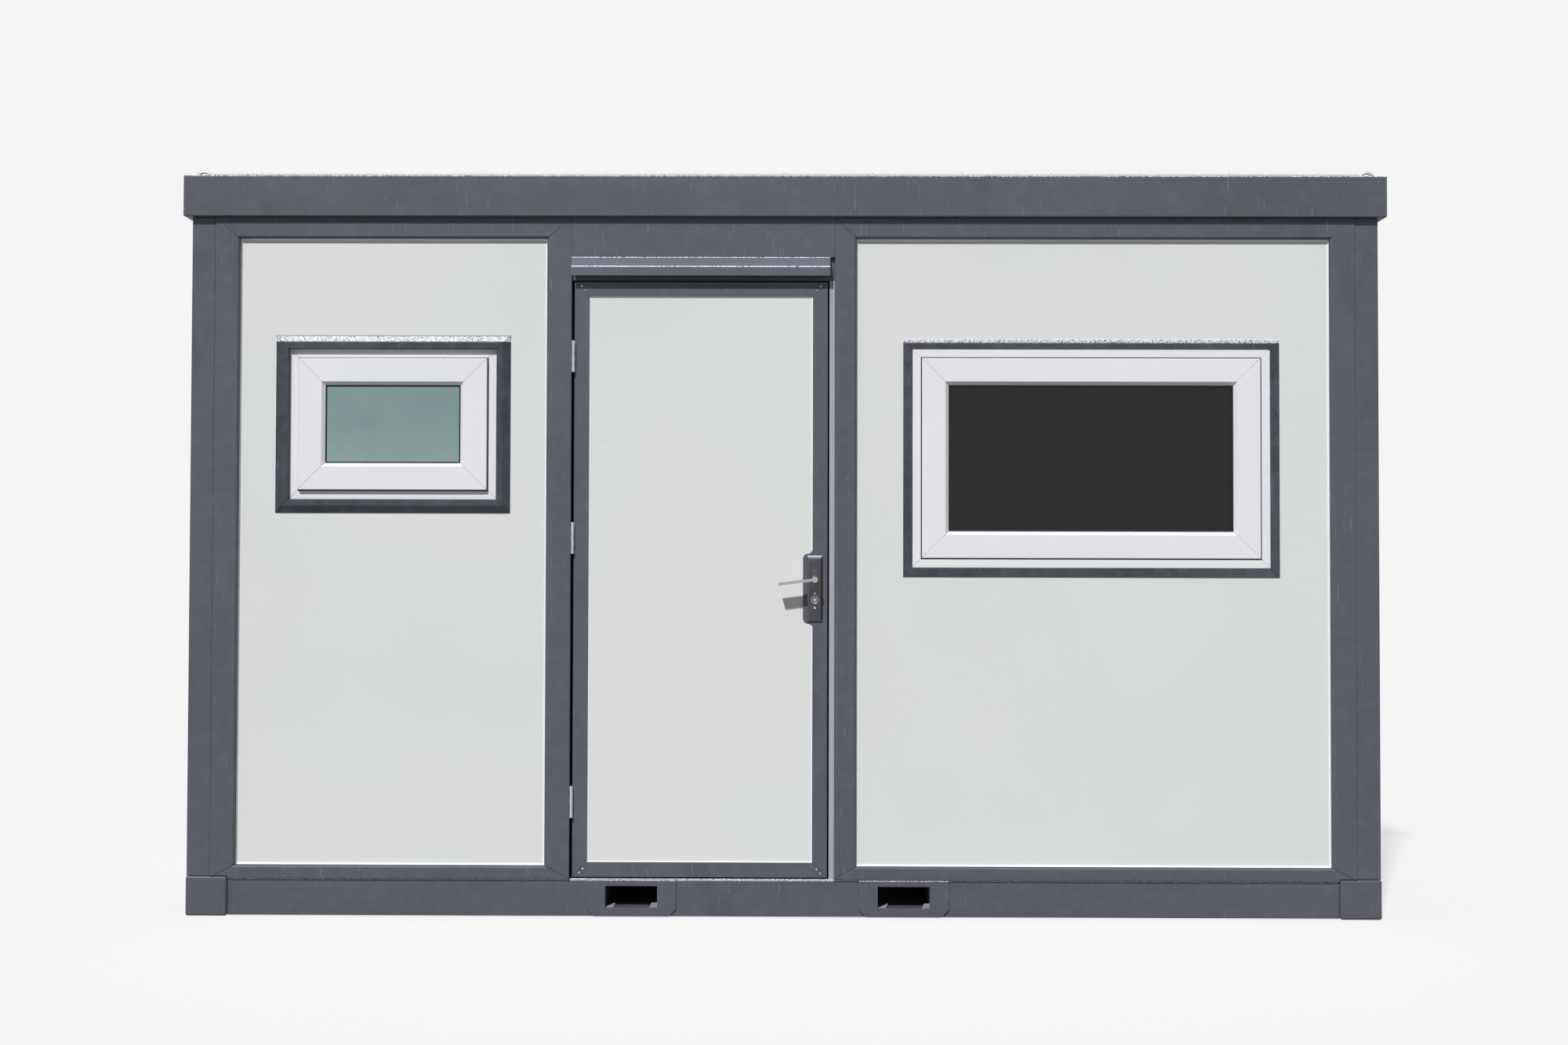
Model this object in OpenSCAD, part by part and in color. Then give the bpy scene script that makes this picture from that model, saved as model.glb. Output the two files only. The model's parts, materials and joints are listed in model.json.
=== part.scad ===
// Portable office cabin: a steel frame with framed wall panels, one outward-opening door,
// a small frosted window, a large clear window, fork pockets and four lifting eyes.
// Millimetres. X runs along the front, the front faces -Y, Z is up, and Z = 0 is the ground.
// Inside a wall's own frame, y = 0 is the wall's outer face and y grows into the wall.

/* [Cabin] */
// Width over the corner posts
cabin_w = 4000; // [3750:50:6000]
// Depth over the corner posts
cabin_d = 2390; // [1900:10:3000]
// Height of the roof frame's top above the ground
cabin_h = 2491; // [2440:1:3000]

/* [Base frame] */
// Air gap under the base beams
base_lift = 3; // [1:1:20]
// Height of the base beams
base_beam_h = 125; // [120:1:160]
// Depth of the base and roof beams' channel section
beam_d = 80; // [60:1:120]
// Wall of the rolled sections
steel_t = 4; // [3:0.5:8]
// How far the base beams stand behind the wall faces
base_setback = 10; // [8:1:20]
// Plan width of a corner block
block_w = 140; // [120:1:180]
// Height of a corner block above the beams' top
block_rise = 6; // [2:1:20]
// How far a corner block stands proud of the posts
block_proud = 3; // [1:1:8]
// Chamfer on a corner block's edges
block_chamfer = 6; // [2:1:10]
// Width of a floor joist
joist_w = 50; // [40:1:80]
// Height of a floor joist
joist_h = 80; // [60:1:95]
// Thickness of the floor deck
deck_t = 18; // [15:1:22]

/* [Fork pockets] */
// Clear width of a fork pocket
pocket_w = 174; // [150:1:220]
// Clear height of a fork pocket
pocket_h = 72; // [60:1:80]
// Height of a pocket's floor above the ground
pocket_z = 32; // [25:1:35]
// Distance between the two pockets' centres
pocket_spacing = 913; // [800:1:1200]
// Sideways place of the pair's middle
pocket_shift = -50; // [-200:1:200]
// Wall of a pocket's tube
pocket_t = 5; // [4:1:8]
// How far the face plate reaches past the clear width on each side
plate_margin = 63; // [40:1:80]
// Thickness of the face plate
plate_t = 6; // [4:1:8]
// Cut-off lower corner of the face plate
plate_corner = 24; // [5:1:30]

/* [Posts and walls] */
// Width of a square corner post
post_w = 79; // [70:1:120]
// Thickness of the walls
wall_t = 80; // [70:1:120]
// How far the wall faces stand proud of the posts
wall_proud = 3; // [1:1:6]
// Width of a surround's upright bars
surround_side = 84; // [60:1:110]
// Width of the upright bar on the door's latch side
surround_latch = 74; // [60:1:110]
// Width of a surround's top bar
surround_top = 72; // [60:1:100]
// Width of a surround's bottom bar
surround_bottom = 44; // [35:1:70]
// Chamfer on a surround's inner edge
surround_chamfer = 7; // [3:1:10]
// How far the white boards lie behind the surrounds
board_recess = 20; // [12:1:30]
// Open seam between two boards
board_seam = 0.8; // [0.4:0.1:0.9]
// Width of the widest board sheet on the plain walls
sheet_w = 1250; // [1000:10:1500]

/* [Door] */
// Width of the door leaf
leaf_w = 855; // [700:1:950]
// Height of the door leaf
leaf_h = 2003; // [1850:1:2010]
// Thickness of the door leaf
leaf_t = 45; // [40:1:50]
// Place of the leaf's hinge edge, measured from the cabin's middle
leaf_x0 = -706; // [-850:1:-600]
// How far the leaf lies behind the wall face
leaf_recess = 15; // [10:1:20]
// Width of the bars that edge the leaf
edge_w = 50; // [40:1:70]
// How far the white panel lies behind the edge bars
panel_recess = 4; // [2:1:8]
// Gap on the hinge side
hinge_gap = 9; // [8:0.5:12]
// Gap on the latch side
latch_gap = 6; // [6:0.5:10]
// Gap under and over the leaf
end_gap = 5; // [5:0.5:10]
// Width of the light strip on the latch side of the doorway
latch_strip_w = 18; // [12:1:30]
// Gap between the closed leaf and the stops behind it
stop_gap = 6; // [5:0.5:10]
// How far the hinge-side and head stops reach into the doorway
stop_w = 22; // [15:1:30]
// How far the latch-side stop reaches into the doorway
latch_stop_w = 14; // [10:1:15]
// Height of the threshold bar
threshold_h = 15; // [10:1:25]
// Height of the lintel's lower edge above the leaf
lintel_rise = 83; // [60:1:120]
// How far the rain hood stands out
hood_out = 22; // [15:1:60]
// Drop of the hood's sloping face
hood_slope = 35; // [15:1:60]
// Height of the hood's upright face
hood_face = 31; // [20:1:40]
// Thickness of the hood's sheet
hood_t = 2; // [1.5:0.5:4]

/* [Hinges] */
// Height of one hinge
hinge_h = 106; // [80:1:140]
// Radius of the hinge barrel
barrel_r = 5; // [4.5:0.1:5.5]
// Radius of the hinge pin
pin_r = 3; // [2.5:0.1:3.5]
// Thickness of a hinge plate
hinge_t = 2; // [1.5:0.1:3]
// How far the pin lies behind the wall face
pin_y = 3; // [2:0.5:4]
// Heights of the three hinges' middles above the leaf's bottom
hinge_heights = [252, 1137, 1750];

/* [Lock] */
// Width of the lock plates
lock_w = 50; // [40:1:55]
// Height of the lock plates
lock_h = 221; // [190:1:260]
// Thickness of the lock plates
lock_t = 12; // [8:1:14]
// Bevel around a lock plate
lock_bevel = 6; // [2:1:8]
// Height of the lock plate's middle above the leaf's bottom
lock_z = 969.5; // [900:0.5:1050]
// Distance from the leaf's latch edge to the lock plate's middle
lock_in = 42; // [32:1:60]
// How far the lock bump reaches over the panel
bump_w = 32; // [25:1:45]
// Height of the lock bump
bump_h = 264; // [230:1:300]
// Height of the lever's axis above the lock plate's middle
lever_rise = 29; // [10:1:50]
// Radius of the lever's neck
neck_r = 9; // [7:0.5:11]
// Radius of the spindle through the leaf
spindle_r = 6; // [4:0.5:6]
// Length of the lever's blade, from the neck's axis to its tip
blade_l = 124; // [100:1:140]
// How far the blade's round end reaches past the neck
hub_rim = 1; // [0.5:0.5:3]
// Height of the blade
blade_h = 9.5; // [7:0.5:14]
// Depth of the blade
blade_d = 28; // [20:1:32]
// Clear space between the door's face and the blade
blade_standoff = 44; // [38:1:60]
// How far the blade's tip hangs below level
blade_droop = 7; // [0:1:12]
// Depth of the key cylinder's axis below the lock plate's middle
key_drop = 38.5; // [20:0.5:60]
// Radius of the key cylinder's collar
key_collar_r = 12.5; // [11:0.5:15]
// Radius of the key cylinder
key_r = 9; // [7:0.5:10]

/* [Small window] */
// Width of the small window's frame
small_w = 702; // [600:1:800]
// Height of the small window's frame
small_h = 509; // [400:1:700]
// Height of the small window's lower edge
small_z = 1399; // [1000:1:1500]
// Shift of the small window from the middle of its bay
small_shift = -1; // [-20:1:20]
// Width of its dark trim
small_trim_w = 46; // [30:1:55]
// How far its trim stands proud of the boards
small_trim_proud = 18; // [8:1:20]
// Width of the sloping outer part of its trim
small_trim_slope = 25; // [10:1:28]
// How far its sash stands proud of its frame
small_sash_proud = 16; // [4:1:18]

/* [Large window] */
// Width of the large window's frame
large_w = 1204; // [900:1:1350]
// Height of the large window's frame
large_h = 739; // [600:1:900]
// Height of the large window's lower edge
large_z = 1173; // [900:1:1300]
// Shift of the large window from the middle of its bay
large_shift = -5; // [-20:1:20]
// Width of its dark trim
large_trim_w = 31; // [20:1:50]
// How far its trim stands proud of the boards
large_trim_proud = 3; // [2:1:12]
// How far its sash stands proud of its frame
large_sash_proud = 6; // [4:1:18]
// Shift of the board seam from the large window's middle
seam_shift = -18; // [-60:1:60]

/* [Window sections] */
// Width of a window frame's bars
frame_w = 32; // [25:1:45]
// Width of a sash's bars
sash_w = 91; // [70:1:110]
// Depth of a sash
sash_d = 56; // [50:1:60]
// Bevel between a sash and its glass
sash_bevel = 12; // [5:1:16]
// Depth of the glass's face behind the sash's face
glass_setback = 14; // [13:1:20]
// Thickness of the double glazing
glass_t = 24; // [18:1:30]

/* [Roof] */
// Height of the roof frame's beams
roof_beam_h = 138; // [120:1:180]
// How far the roof frame overhangs the posts
roof_overhang = 25; // [15:1:40]
// Thickness of the ceiling
ceiling_t = 40; // [30:1:60]
// Margin between the roof frame's outer face and the roof sheet
roof_margin = 6; // [4:1:20]
// Thickness of the roof sheet's edge
roof_edge_t = 8; // [5:1:15]
// Rise of the roof sheet's middle above its edge
roof_crown = 22; // [10:1:60]
// Radius of a lifting eye's bar
eye_bar_r = 5.5; // [4:0.5:8]
// Inner radius of a lifting eye
eye_inner_r = 22; // [18:1:30]
// Distance from the roof frame's end face to an eye's middle
eye_in = 45; // [40:1:80]
// Distance from the roof frame's long face to an eye's bar
eye_back = 86; // [10:1:120]

/* [Hidden] */

$fn = 48;
eps = 0.5;              // overshoot of a cutting shape
mitre_gap = 0.8;        // open line of a mitre, measured along the upright bar
running_fit = 0.06;     // radial clearance of a pin or neck in its bore
fixed_fit = 0.2;        // radial clearance of a piece that doesn't turn
knuckle_gap = 0.5;      // clearance between two hinge knuckles
hinge_reach = 42;       // how far a hinge plate reaches back from the barrel
hinge_setback = 1;      // how far a hinge plate lies behind what its barrel sweeps
hood_lip = 4;           // height of the hood's edge that is fixed to the lintel
key_proud = 1.5;        // how far the key cylinder's collar stands proud of the plate
spindle_hole_gap = 5;   // clearance round the spindle inside the leaf
eye_clear = 12;         // space between a lifting eye and the roof sheet
bump_steps = 8;         // straight steps in each arc of the lock bump's outline
crown_steps = 16;       // straight steps in the roof sheet's curve

dark_steel = [0.36, 0.37, 0.41];
pale_steel = [0.66, 0.67, 0.70];
board_white = [0.89, 0.90, 0.89];
upvc_white = [0.94, 0.94, 0.95];
lock_metal = [0.25, 0.25, 0.27];
bright_metal = [0.80, 0.80, 0.82];
frosted_glass = [0.51, 0.62, 0.61, 0.8];
clear_glass = [0.25, 0.30, 0.32, 0.6];
deck_brown = [0.45, 0.36, 0.28];
roof_grey = [0.82, 0.83, 0.84];

// Places that follow from the driving sizes
face_front = -(cabin_d / 2 + wall_proud);
face_side = -(cabin_w / 2 + wall_proud);
wall_z0 = base_lift + base_beam_h;
wall_z1 = cabin_h - roof_beam_h;
bay_x0 = -(cabin_w / 2 - post_w);
bay_x1 = cabin_w / 2 - post_w;

leaf_x1 = leaf_x0 + leaf_w;
leaf_z0 = wall_z0 + end_gap;
leaf_z1 = leaf_z0 + leaf_h;
door_x0 = leaf_x0 - hinge_gap;
strip_x0 = leaf_x1 + latch_gap;
door_x1 = strip_x0 + latch_strip_w;
head_z = leaf_z1 + end_gap;
lintel_z = leaf_z1 + lintel_rise;
stop_y = leaf_recess + leaf_t + stop_gap;

pin_x = door_x0 + barrel_r + 0.3;
lock_x = leaf_x1 - lock_in;
lock_mid_z = leaf_z0 + lock_z;
lever_z = lock_mid_z + lever_rise;
key_z = lock_mid_z - key_drop;
plate_y = leaf_recess - lock_t;

left_inner = [bay_x0 + surround_side, door_x0 - surround_side,
    wall_z0 + surround_bottom, wall_z1 - surround_top];
right_inner = [door_x1 + surround_latch, bay_x1 - surround_side,
    wall_z0 + surround_bottom, wall_z1 - surround_top];
small_x = (left_inner[0] + left_inner[1]) / 2 + small_shift;
large_x = (right_inner[0] + right_inner[1]) / 2 + large_shift;
seam_x = large_x + seam_shift;
board_t = wall_t - board_recess;

// Rectangles are [low x, high x, low z, high z]
small_frame = [small_x - small_w / 2, small_x + small_w / 2, small_z, small_z + small_h];
large_frame = [large_x - large_w / 2, large_x + large_w / 2, large_z, large_z + large_h];

pocket_xs = [pocket_shift - pocket_spacing / 2, pocket_shift + pocket_spacing / 2];
joist_pitch = pocket_spacing / 2;
joist_limit = cabin_w / 2 - beam_d - joist_w;
joist_xs = [for (k = [-8:8]) let (x = pocket_shift + k * joist_pitch)
    if (abs(k) != 1 && abs(x) < joist_limit) x];
deck_z0 = wall_z0 - deck_t;
pocket_mouth_y = cabin_d / 2 + wall_proud - base_setback + plate_t;
beam_web_y = cabin_d / 2 + wall_proud - base_setback - steel_t;

roof_x = cabin_w / 2 + roof_overhang;
roof_y = cabin_d / 2 + roof_overhang;
eye_mid_r = eye_inner_r + eye_bar_r;
eye_x = roof_x - eye_in;
eye_y = roof_y - eye_back - eye_bar_r;

// A rectangle made wider on every side by m, or narrower where m is negative
function grow(r, m) = [r[0] - m, r[1] + m, r[2] - m, r[3] + m];

// The four corners of a rectangle, in order
function corners(r) = [[r[0], r[2]], [r[1], r[2]], [r[1], r[3]], [r[0], r[3]]];

// Points of an arc round centre c, from angle a to angle b
function arc(c, r, a, b, steps) =
    [for (i = [0:steps]) let (t = a + (b - a) * i / steps) c + r * [cos(t), sin(t)]];

// Section of a bar from its outer edge to its inner edge, with a [width, depth] bevel on each
function bar_section(a_out, a_in, y0, depth, out_bevel, in_bevel) =
    let (s = sign(a_in - a_out))
    concat(
        out_bevel[0] > 0 ? [[a_out, y0 + out_bevel[1]], [a_out + s * out_bevel[0], y0]]
            : [[a_out, y0]],
        in_bevel[0] > 0 ? [[a_in - s * in_bevel[0], y0], [a_in, y0 + in_bevel[1]]]
            : [[a_in, y0]],
        [[a_in, y0 + depth], [a_out, y0 + depth]]);

// Extrudes an outline in X and Z from y0 by depth, into the wall
module wall_extrude(y0, depth) {
    translate([0, y0 + depth, 0]) rotate([90, 0, 0]) linear_extrude(depth) children();
}

// Extrudes an outline in Y and Z along X, from x0 to x1
module along_x(x0, x1) {
    translate([x0, 0, 0]) rotate([90, 0, 90]) linear_extrude(x1 - x0) children();
}

// A box between two corners
module block_between(low, high) {
    translate(low) cube(high - low);
}

// A round bar along Y from y0 to y1
module rod_y(x, z, r, y0, y1) {
    translate([x, y1, z]) rotate([90, 0, 0]) cylinder(r = r, h = y1 - y0);
}

module on_front() {
    translate([0, face_front, 0]) children();
}

module on_back() {
    rotate([0, 0, 180]) translate([0, face_front, 0]) children();
}

module on_left() {
    rotate([0, 0, -90]) translate([0, face_side, 0]) children();
}

module on_right() {
    rotate([0, 0, 90]) translate([0, face_side, 0]) children();
}

// An upright bar of a ring, cut to its mitred outline
module upright_bar(outline, a_out, a_in, y0, depth, out_bevel, in_bevel) {
    z0 = min([for (p = outline) p[1]]);
    z1 = max([for (p = outline) p[1]]);
    intersection() {
        wall_extrude(y0, depth) polygon(outline);
        translate([0, 0, z0 - eps])
            linear_extrude(z1 - z0 + 2 * eps)
            polygon(bar_section(a_out, a_in, y0, depth, out_bevel, in_bevel));
    }
}

// A level bar of a ring, cut to its mitred outline
module level_bar(outline, a_out, a_in, y0, depth, out_bevel, in_bevel) {
    x0 = min([for (p = outline) p[0]]);
    x1 = max([for (p = outline) p[0]]);
    section = bar_section(a_out, a_in, y0, depth, out_bevel, in_bevel);
    intersection() {
        wall_extrude(y0, depth) polygon(outline);
        along_x(x0 - eps, x1 + eps) polygon([for (p = section) [p[1], p[0]]]);
    }
}

// Four mitred bars between an outer and an inner rectangle
module mitred_ring(outer, inner, y0, depth, out_bevel = [0, 0], in_bevel = [0, 0]) {
    o = corners(outer);
    i = corners(inner);
    g = [0, mitre_gap];
    upright_bar([o[0] + g, i[0] + g, i[3] - g, o[3] - g],
        outer[0], inner[0], y0, depth, out_bevel, in_bevel);
    upright_bar([o[1] + g, o[2] - g, i[2] - g, i[1] + g],
        outer[1], inner[1], y0, depth, out_bevel, in_bevel);
    level_bar([o[0], o[1], i[1], i[0]],
        outer[2], inner[2], y0, depth, out_bevel, in_bevel);
    level_bar([o[3], i[3], i[2], o[2]],
        outer[3], inner[3], y0, depth, out_bevel, in_bevel);
}

// A channel section along X with its web outside, from x0 to x1
module channel(x0, x1, height) {
    t = steel_t;
    along_x(x0, x1)
        polygon([[0, 0], [beam_d, 0], [beam_d, t], [t, t],
            [t, height - t], [beam_d, height - t], [beam_d, height], [0, height]]);
}

// A box with every edge chamfered by c
module chamfered_box(w, d, h, c) {
    outline = function (a, b) [[c, 0], [a - c, 0], [a, c], [a, b - c],
        [a - c, b], [c, b], [0, b - c], [0, c]];
    intersection() {
        linear_extrude(h) polygon(outline(w, d));
        along_x(0, w) polygon(outline(d, h));
        wall_extrude(0, d) polygon(outline(w, h));
    }
}

// ---- Base ----

module corner_blocks() {
    x = cabin_w / 2 + block_proud;
    y = cabin_d / 2 + block_proud;
    color(dark_steel)
        for (sx = [-1, 1], sy = [-1, 1])
            translate([sx > 0 ? x - block_w : -x, sy > 0 ? y - block_w : -y, 0])
            chamfered_box(block_w, block_w, wall_z0 + block_rise, block_chamfer);
}

// Base beam along a wall face, between the corner blocks
module base_beam(span) {
    translate([0, base_setback, base_lift]) channel(-span / 2, span / 2, base_beam_h);
}

module base_beams() {
    long_span = cabin_w + 2 * block_proud - 2 * block_w;
    short_span = cabin_d + 2 * block_proud - 2 * block_w;
    color(dark_steel) {
        difference() {
            union() {
                on_front() base_beam(long_span);
                on_back() base_beam(long_span);
            }
            for (x = pocket_xs)
                fork_tube_outside(x);
        }
        on_left() base_beam(short_span);
        on_right() base_beam(short_span);
    }
}

module fork_tube_outside(x) {
    y = pocket_mouth_y;
    block_between([x - pocket_w / 2 - pocket_t, -y, pocket_z - pocket_t],
        [x + pocket_w / 2 + pocket_t, y, pocket_z + pocket_h + pocket_t]);
}

// Face plate round a pocket's mouth, with its lower corners cut off
module fork_plate(x) {
    half = pocket_w / 2 + plate_margin;
    c = plate_corner;
    z0 = base_lift;
    z1 = base_lift + base_beam_h;
    wall_extrude(0, plate_t)
        polygon([[x - half + c, z0], [x + half - c, z0], [x + half, z0 + c],
            [x + half, z1], [x - half, z1], [x - half, z0 + c]]);
}

module fork_pocket(x) {
    color(dark_steel)
        difference() {
            union() {
                fork_tube_outside(x);
                translate([0, -pocket_mouth_y, 0]) fork_plate(x);
                translate([0, pocket_mouth_y - plate_t, 0]) fork_plate(x);
            }
            block_between([x - pocket_w / 2, -pocket_mouth_y - eps, pocket_z],
                [x + pocket_w / 2, pocket_mouth_y + eps, pocket_z + pocket_h]);
        }
}

module fork_pocket_left() {
    fork_pocket(pocket_xs[0]);
}

module fork_pocket_right() {
    fork_pocket(pocket_xs[1]);
}

module floor_joists() {
    t = steel_t;
    color(dark_steel)
        for (x = joist_xs)
            difference() {
                block_between([x - joist_w / 2, -beam_web_y, deck_z0 - joist_h],
                    [x + joist_w / 2, beam_web_y, deck_z0]);
                block_between([x - joist_w / 2 + t, -beam_web_y - eps, deck_z0 - joist_h + t],
                    [x + joist_w / 2 - t, beam_web_y + eps, deck_z0 - t]);
            }
}

// The deck lies on the joists, flush with the beams' tops and between their flanges
module floor_deck() {
    x = cabin_w / 2 + wall_proud - base_setback - beam_d;
    y = cabin_d / 2 + wall_proud - base_setback - beam_d;
    color(deck_brown)
        difference() {
            block_between([-x, -y, deck_z0], [x, y, wall_z0]);
            for (sx = [-1, 1], sy = [-1, 1])
                translate([sx * (cabin_w / 2 + block_proud), sy * (cabin_d / 2 + block_proud), 0])
                cube([2 * block_w, 2 * block_w, 2 * cabin_h], center = true);
            for (pocket_x = pocket_xs)
                fork_tube_outside(pocket_x);
        }
}

// ---- Posts and plain walls ----

module corner_posts() {
    t = steel_t;
    x = cabin_w / 2 - post_w / 2;
    y = cabin_d / 2 - post_w / 2;
    z0 = wall_z0 + block_rise;
    color(dark_steel)
        for (sx = [-1, 1], sy = [-1, 1])
            translate([sx * x, sy * y, z0])
            linear_extrude(wall_z1 - z0)
            difference() {
                square(post_w, center = true);
                square(post_w - 2 * t, center = true);
            }
}

// A dark ring of bars, cut out over the corner block at each end named in block_ends
module surround(outer, inner, block_ends = [0, 1]) {
    reach = block_w - block_proud - post_w;
    color(dark_steel)
        difference() {
            mitred_ring(outer, inner, 0, wall_t,
                in_bevel = [surround_chamfer, surround_chamfer]);
            for (end = block_ends)
                translate([outer[end], 0, wall_z0])
                cube([2 * reach, 4 * wall_t, 2 * block_rise], center = true);
        }
}

// The opening inside a plain wall's surround
function plain_inner(half) = [-half + surround_side, half - surround_side,
    wall_z0 + surround_bottom, wall_z1 - surround_top];

module plain_surround(half) {
    surround([-half, half, wall_z0, wall_z1], plain_inner(half));
}

// A row of boards that fills a plain wall's surround; the last one takes up what is left over
module plain_boards(half) {
    r = plain_inner(half);
    count = ceil((r[1] - r[0]) / sheet_w);
    pitch = floor((r[1] - r[0]) / count);
    color(board_white)
        for (k = [0:count - 1])
            block_between([r[0] + k * pitch + (k > 0 ? board_seam : 0), board_recess, r[2]],
                [k < count - 1 ? r[0] + (k + 1) * pitch : r[1], wall_t, r[3]]);
}

module left_wall_surround() {
    on_left() plain_surround(cabin_d / 2 - post_w);
}

module left_wall_boards() {
    on_left() plain_boards(cabin_d / 2 - post_w);
}

module right_wall_surround() {
    on_right() plain_surround(cabin_d / 2 - post_w);
}

module right_wall_boards() {
    on_right() plain_boards(cabin_d / 2 - post_w);
}

module back_wall_surround() {
    on_back() plain_surround(cabin_w / 2 - post_w);
}

module back_wall_boards() {
    on_back() plain_boards(cabin_w / 2 - post_w);
}

// ---- Front wall ----

module front_left_surround() {
    on_front() surround([bay_x0, door_x0, wall_z0, wall_z1], left_inner, [0]);
}

module front_right_surround() {
    on_front() surround([door_x1, bay_x1, wall_z0, wall_z1], right_inner, [1]);
}

// A board between x0 and x1 with the window's opening cut out of it
module front_board(x0, x1, inner, window) {
    color(board_white)
        on_front()
        difference() {
            block_between([x0, board_recess, inner[2]], [x1, wall_t, inner[3]]);
            block_between([window[0], board_recess - eps, window[2]],
                [window[1], wall_t + eps, window[3]]);
        }
}

module front_left_board() {
    front_board(left_inner[0], left_inner[1], left_inner, small_frame);
}

module front_middle_board() {
    front_board(right_inner[0], seam_x - board_seam, right_inner, large_frame);
}

module front_right_board() {
    front_board(seam_x, right_inner[1], right_inner, large_frame);
}

module lintel() {
    color(dark_steel)
        on_front() block_between([door_x0, 0, lintel_z], [door_x1, wall_t, wall_z1]);
}

// A bent sheet: a sloping face out from the lintel's lower edge, then an upright face
module door_hood() {
    bend = hood_t * hood_slope / hood_out;
    z = lintel_z;
    color(dark_steel)
        on_front()
        along_x(door_x0, strip_x0 + hood_t)
        polygon([[0, z], [-hood_out, z - hood_slope],
            [-hood_out, z - hood_slope - hood_face],
            [hood_t - hood_out, z - hood_slope - hood_face],
            [hood_t - hood_out, z - hood_slope + bend - hood_lip], [0, z - hood_lip]]);
}

// ---- Doorway ----

module door_head() {
    color(dark_steel)
        on_front() block_between([door_x0, leaf_recess, head_z], [door_x1, wall_t, lintel_z]);
}

module door_latch_jamb() {
    color(pale_steel)
        on_front() block_between([strip_x0, leaf_recess, wall_z0], [door_x1, wall_t, head_z]);
}

// Bars behind the leaf's edges that it closes against
module door_stops() {
    color(dark_steel)
        on_front() {
            block_between([door_x0, stop_y, wall_z0], [door_x0 + stop_w, wall_t, head_z]);
            block_between([strip_x0 - latch_stop_w, stop_y, wall_z0], [strip_x0, wall_t, head_z]);
            block_between([door_x0 + stop_w + mitre_gap, stop_y, head_z - stop_w],
                [strip_x0 - latch_stop_w - mitre_gap, wall_t, head_z]);
        }
}

module door_threshold() {
    color(pale_steel)
        on_front()
        block_between([door_x0 + stop_w, stop_y, wall_z0],
            [strip_x0 - latch_stop_w, wall_t, wall_z0 + threshold_h]);
}

// ---- Door leaf ----

panel_rect = [leaf_x0 + edge_w, leaf_x1 - edge_w, leaf_z0 + edge_w, leaf_z1 - edge_w];

// Outline of the widened part of the latch bar, with an S-curve at each end
function bump_outline() =
    let (x = panel_rect[1], r = bump_w / 2, z0 = lock_mid_z - bump_h / 2,
        z1 = lock_mid_z + bump_h / 2)
    concat([[x + edge_w / 2, z0], [x + edge_w / 2, z1]],
        arc([x - r, z1], r, 0, -90, bump_steps),
        arc([x - r, z1 - bump_w], r, 90, 180, bump_steps),
        arc([x - r, z0 + bump_w], r, 180, 270, bump_steps),
        arc([x - r, z0], r, 90, 0, bump_steps));

// Outline of the lock bump without repeated points where two arcs meet
function bump_points() =
    let (p = bump_outline()) [for (i = [0:len(p) - 1])
        if (i == 0 || norm(p[i] - p[i - 1]) > 0.01) p[i]];

module door_panel() {
    y0 = leaf_recess + panel_recess;
    depth = leaf_t - 2 * panel_recess;
    color(board_white)
        on_front()
        difference() {
            wall_extrude(y0, depth) polygon(corners(panel_rect));
            wall_extrude(y0 - eps, depth + 2 * eps) polygon(bump_points());
        }
}

module door_edge_frame() {
    leaf_rect = [leaf_x0, leaf_x1, leaf_z0, leaf_z1];
    color(dark_steel)
        on_front()
        difference() {
            union() {
                mitred_ring(leaf_rect, panel_rect, leaf_recess, leaf_t);
                wall_extrude(leaf_recess, leaf_t) polygon(bump_points());
            }
            for (h = hinge_heights)
                block_between([leaf_x0 - eps, leaf_recess - eps, hinge_z0(h) - fixed_fit],
                    [leaf_x0 + hinge_t, leaf_recess + leaf_t + eps,
                        hinge_z0(h) + hinge_h + fixed_fit]);
            rod_y(lock_x, lever_z, spindle_r + spindle_hole_gap,
                leaf_recess - eps, leaf_recess + leaf_t + eps);
            rod_y(lock_x, key_z, key_r + fixed_fit,
                leaf_recess - eps, leaf_recess + leaf_t + eps);
        }
}

// ---- Hinges ----

function hinge_z0(h) = leaf_z0 + h - hinge_h / 2;

knuckle_h = (hinge_h - 4 * knuckle_gap) / 5;

// Low end of knuckle k of a hinge that starts at z0
function knuckle_z(z0, k) = z0 + k * (knuckle_h + knuckle_gap);

plate_back_y = pin_y + barrel_r + hinge_setback;

// One side of a hinge: its knuckles, the tabs behind them and the plate
module hinge_side(z0, knuckles, plate_x) {
    for (k = knuckles) {
        translate([pin_x, pin_y, knuckle_z(z0, k)]) cylinder(r = barrel_r, h = knuckle_h);
        block_between([plate_x, pin_y, knuckle_z(z0, k)],
            [plate_x + hinge_t, plate_back_y + hinge_t, knuckle_z(z0, k) + knuckle_h]);
    }
}

module door_hinges_fixed() {
    color(bright_metal)
        on_front()
        for (h = hinge_heights) {
            z0 = hinge_z0(h);
            union() {
                hinge_side(z0, [0, 2, 4], door_x0);
                translate([pin_x, pin_y, z0]) cylinder(r = pin_r, h = hinge_h);
                block_between([door_x0, plate_back_y, z0],
                    [door_x0 + hinge_t, plate_back_y + hinge_reach, z0 + hinge_h]);
            }
        }
}

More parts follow.
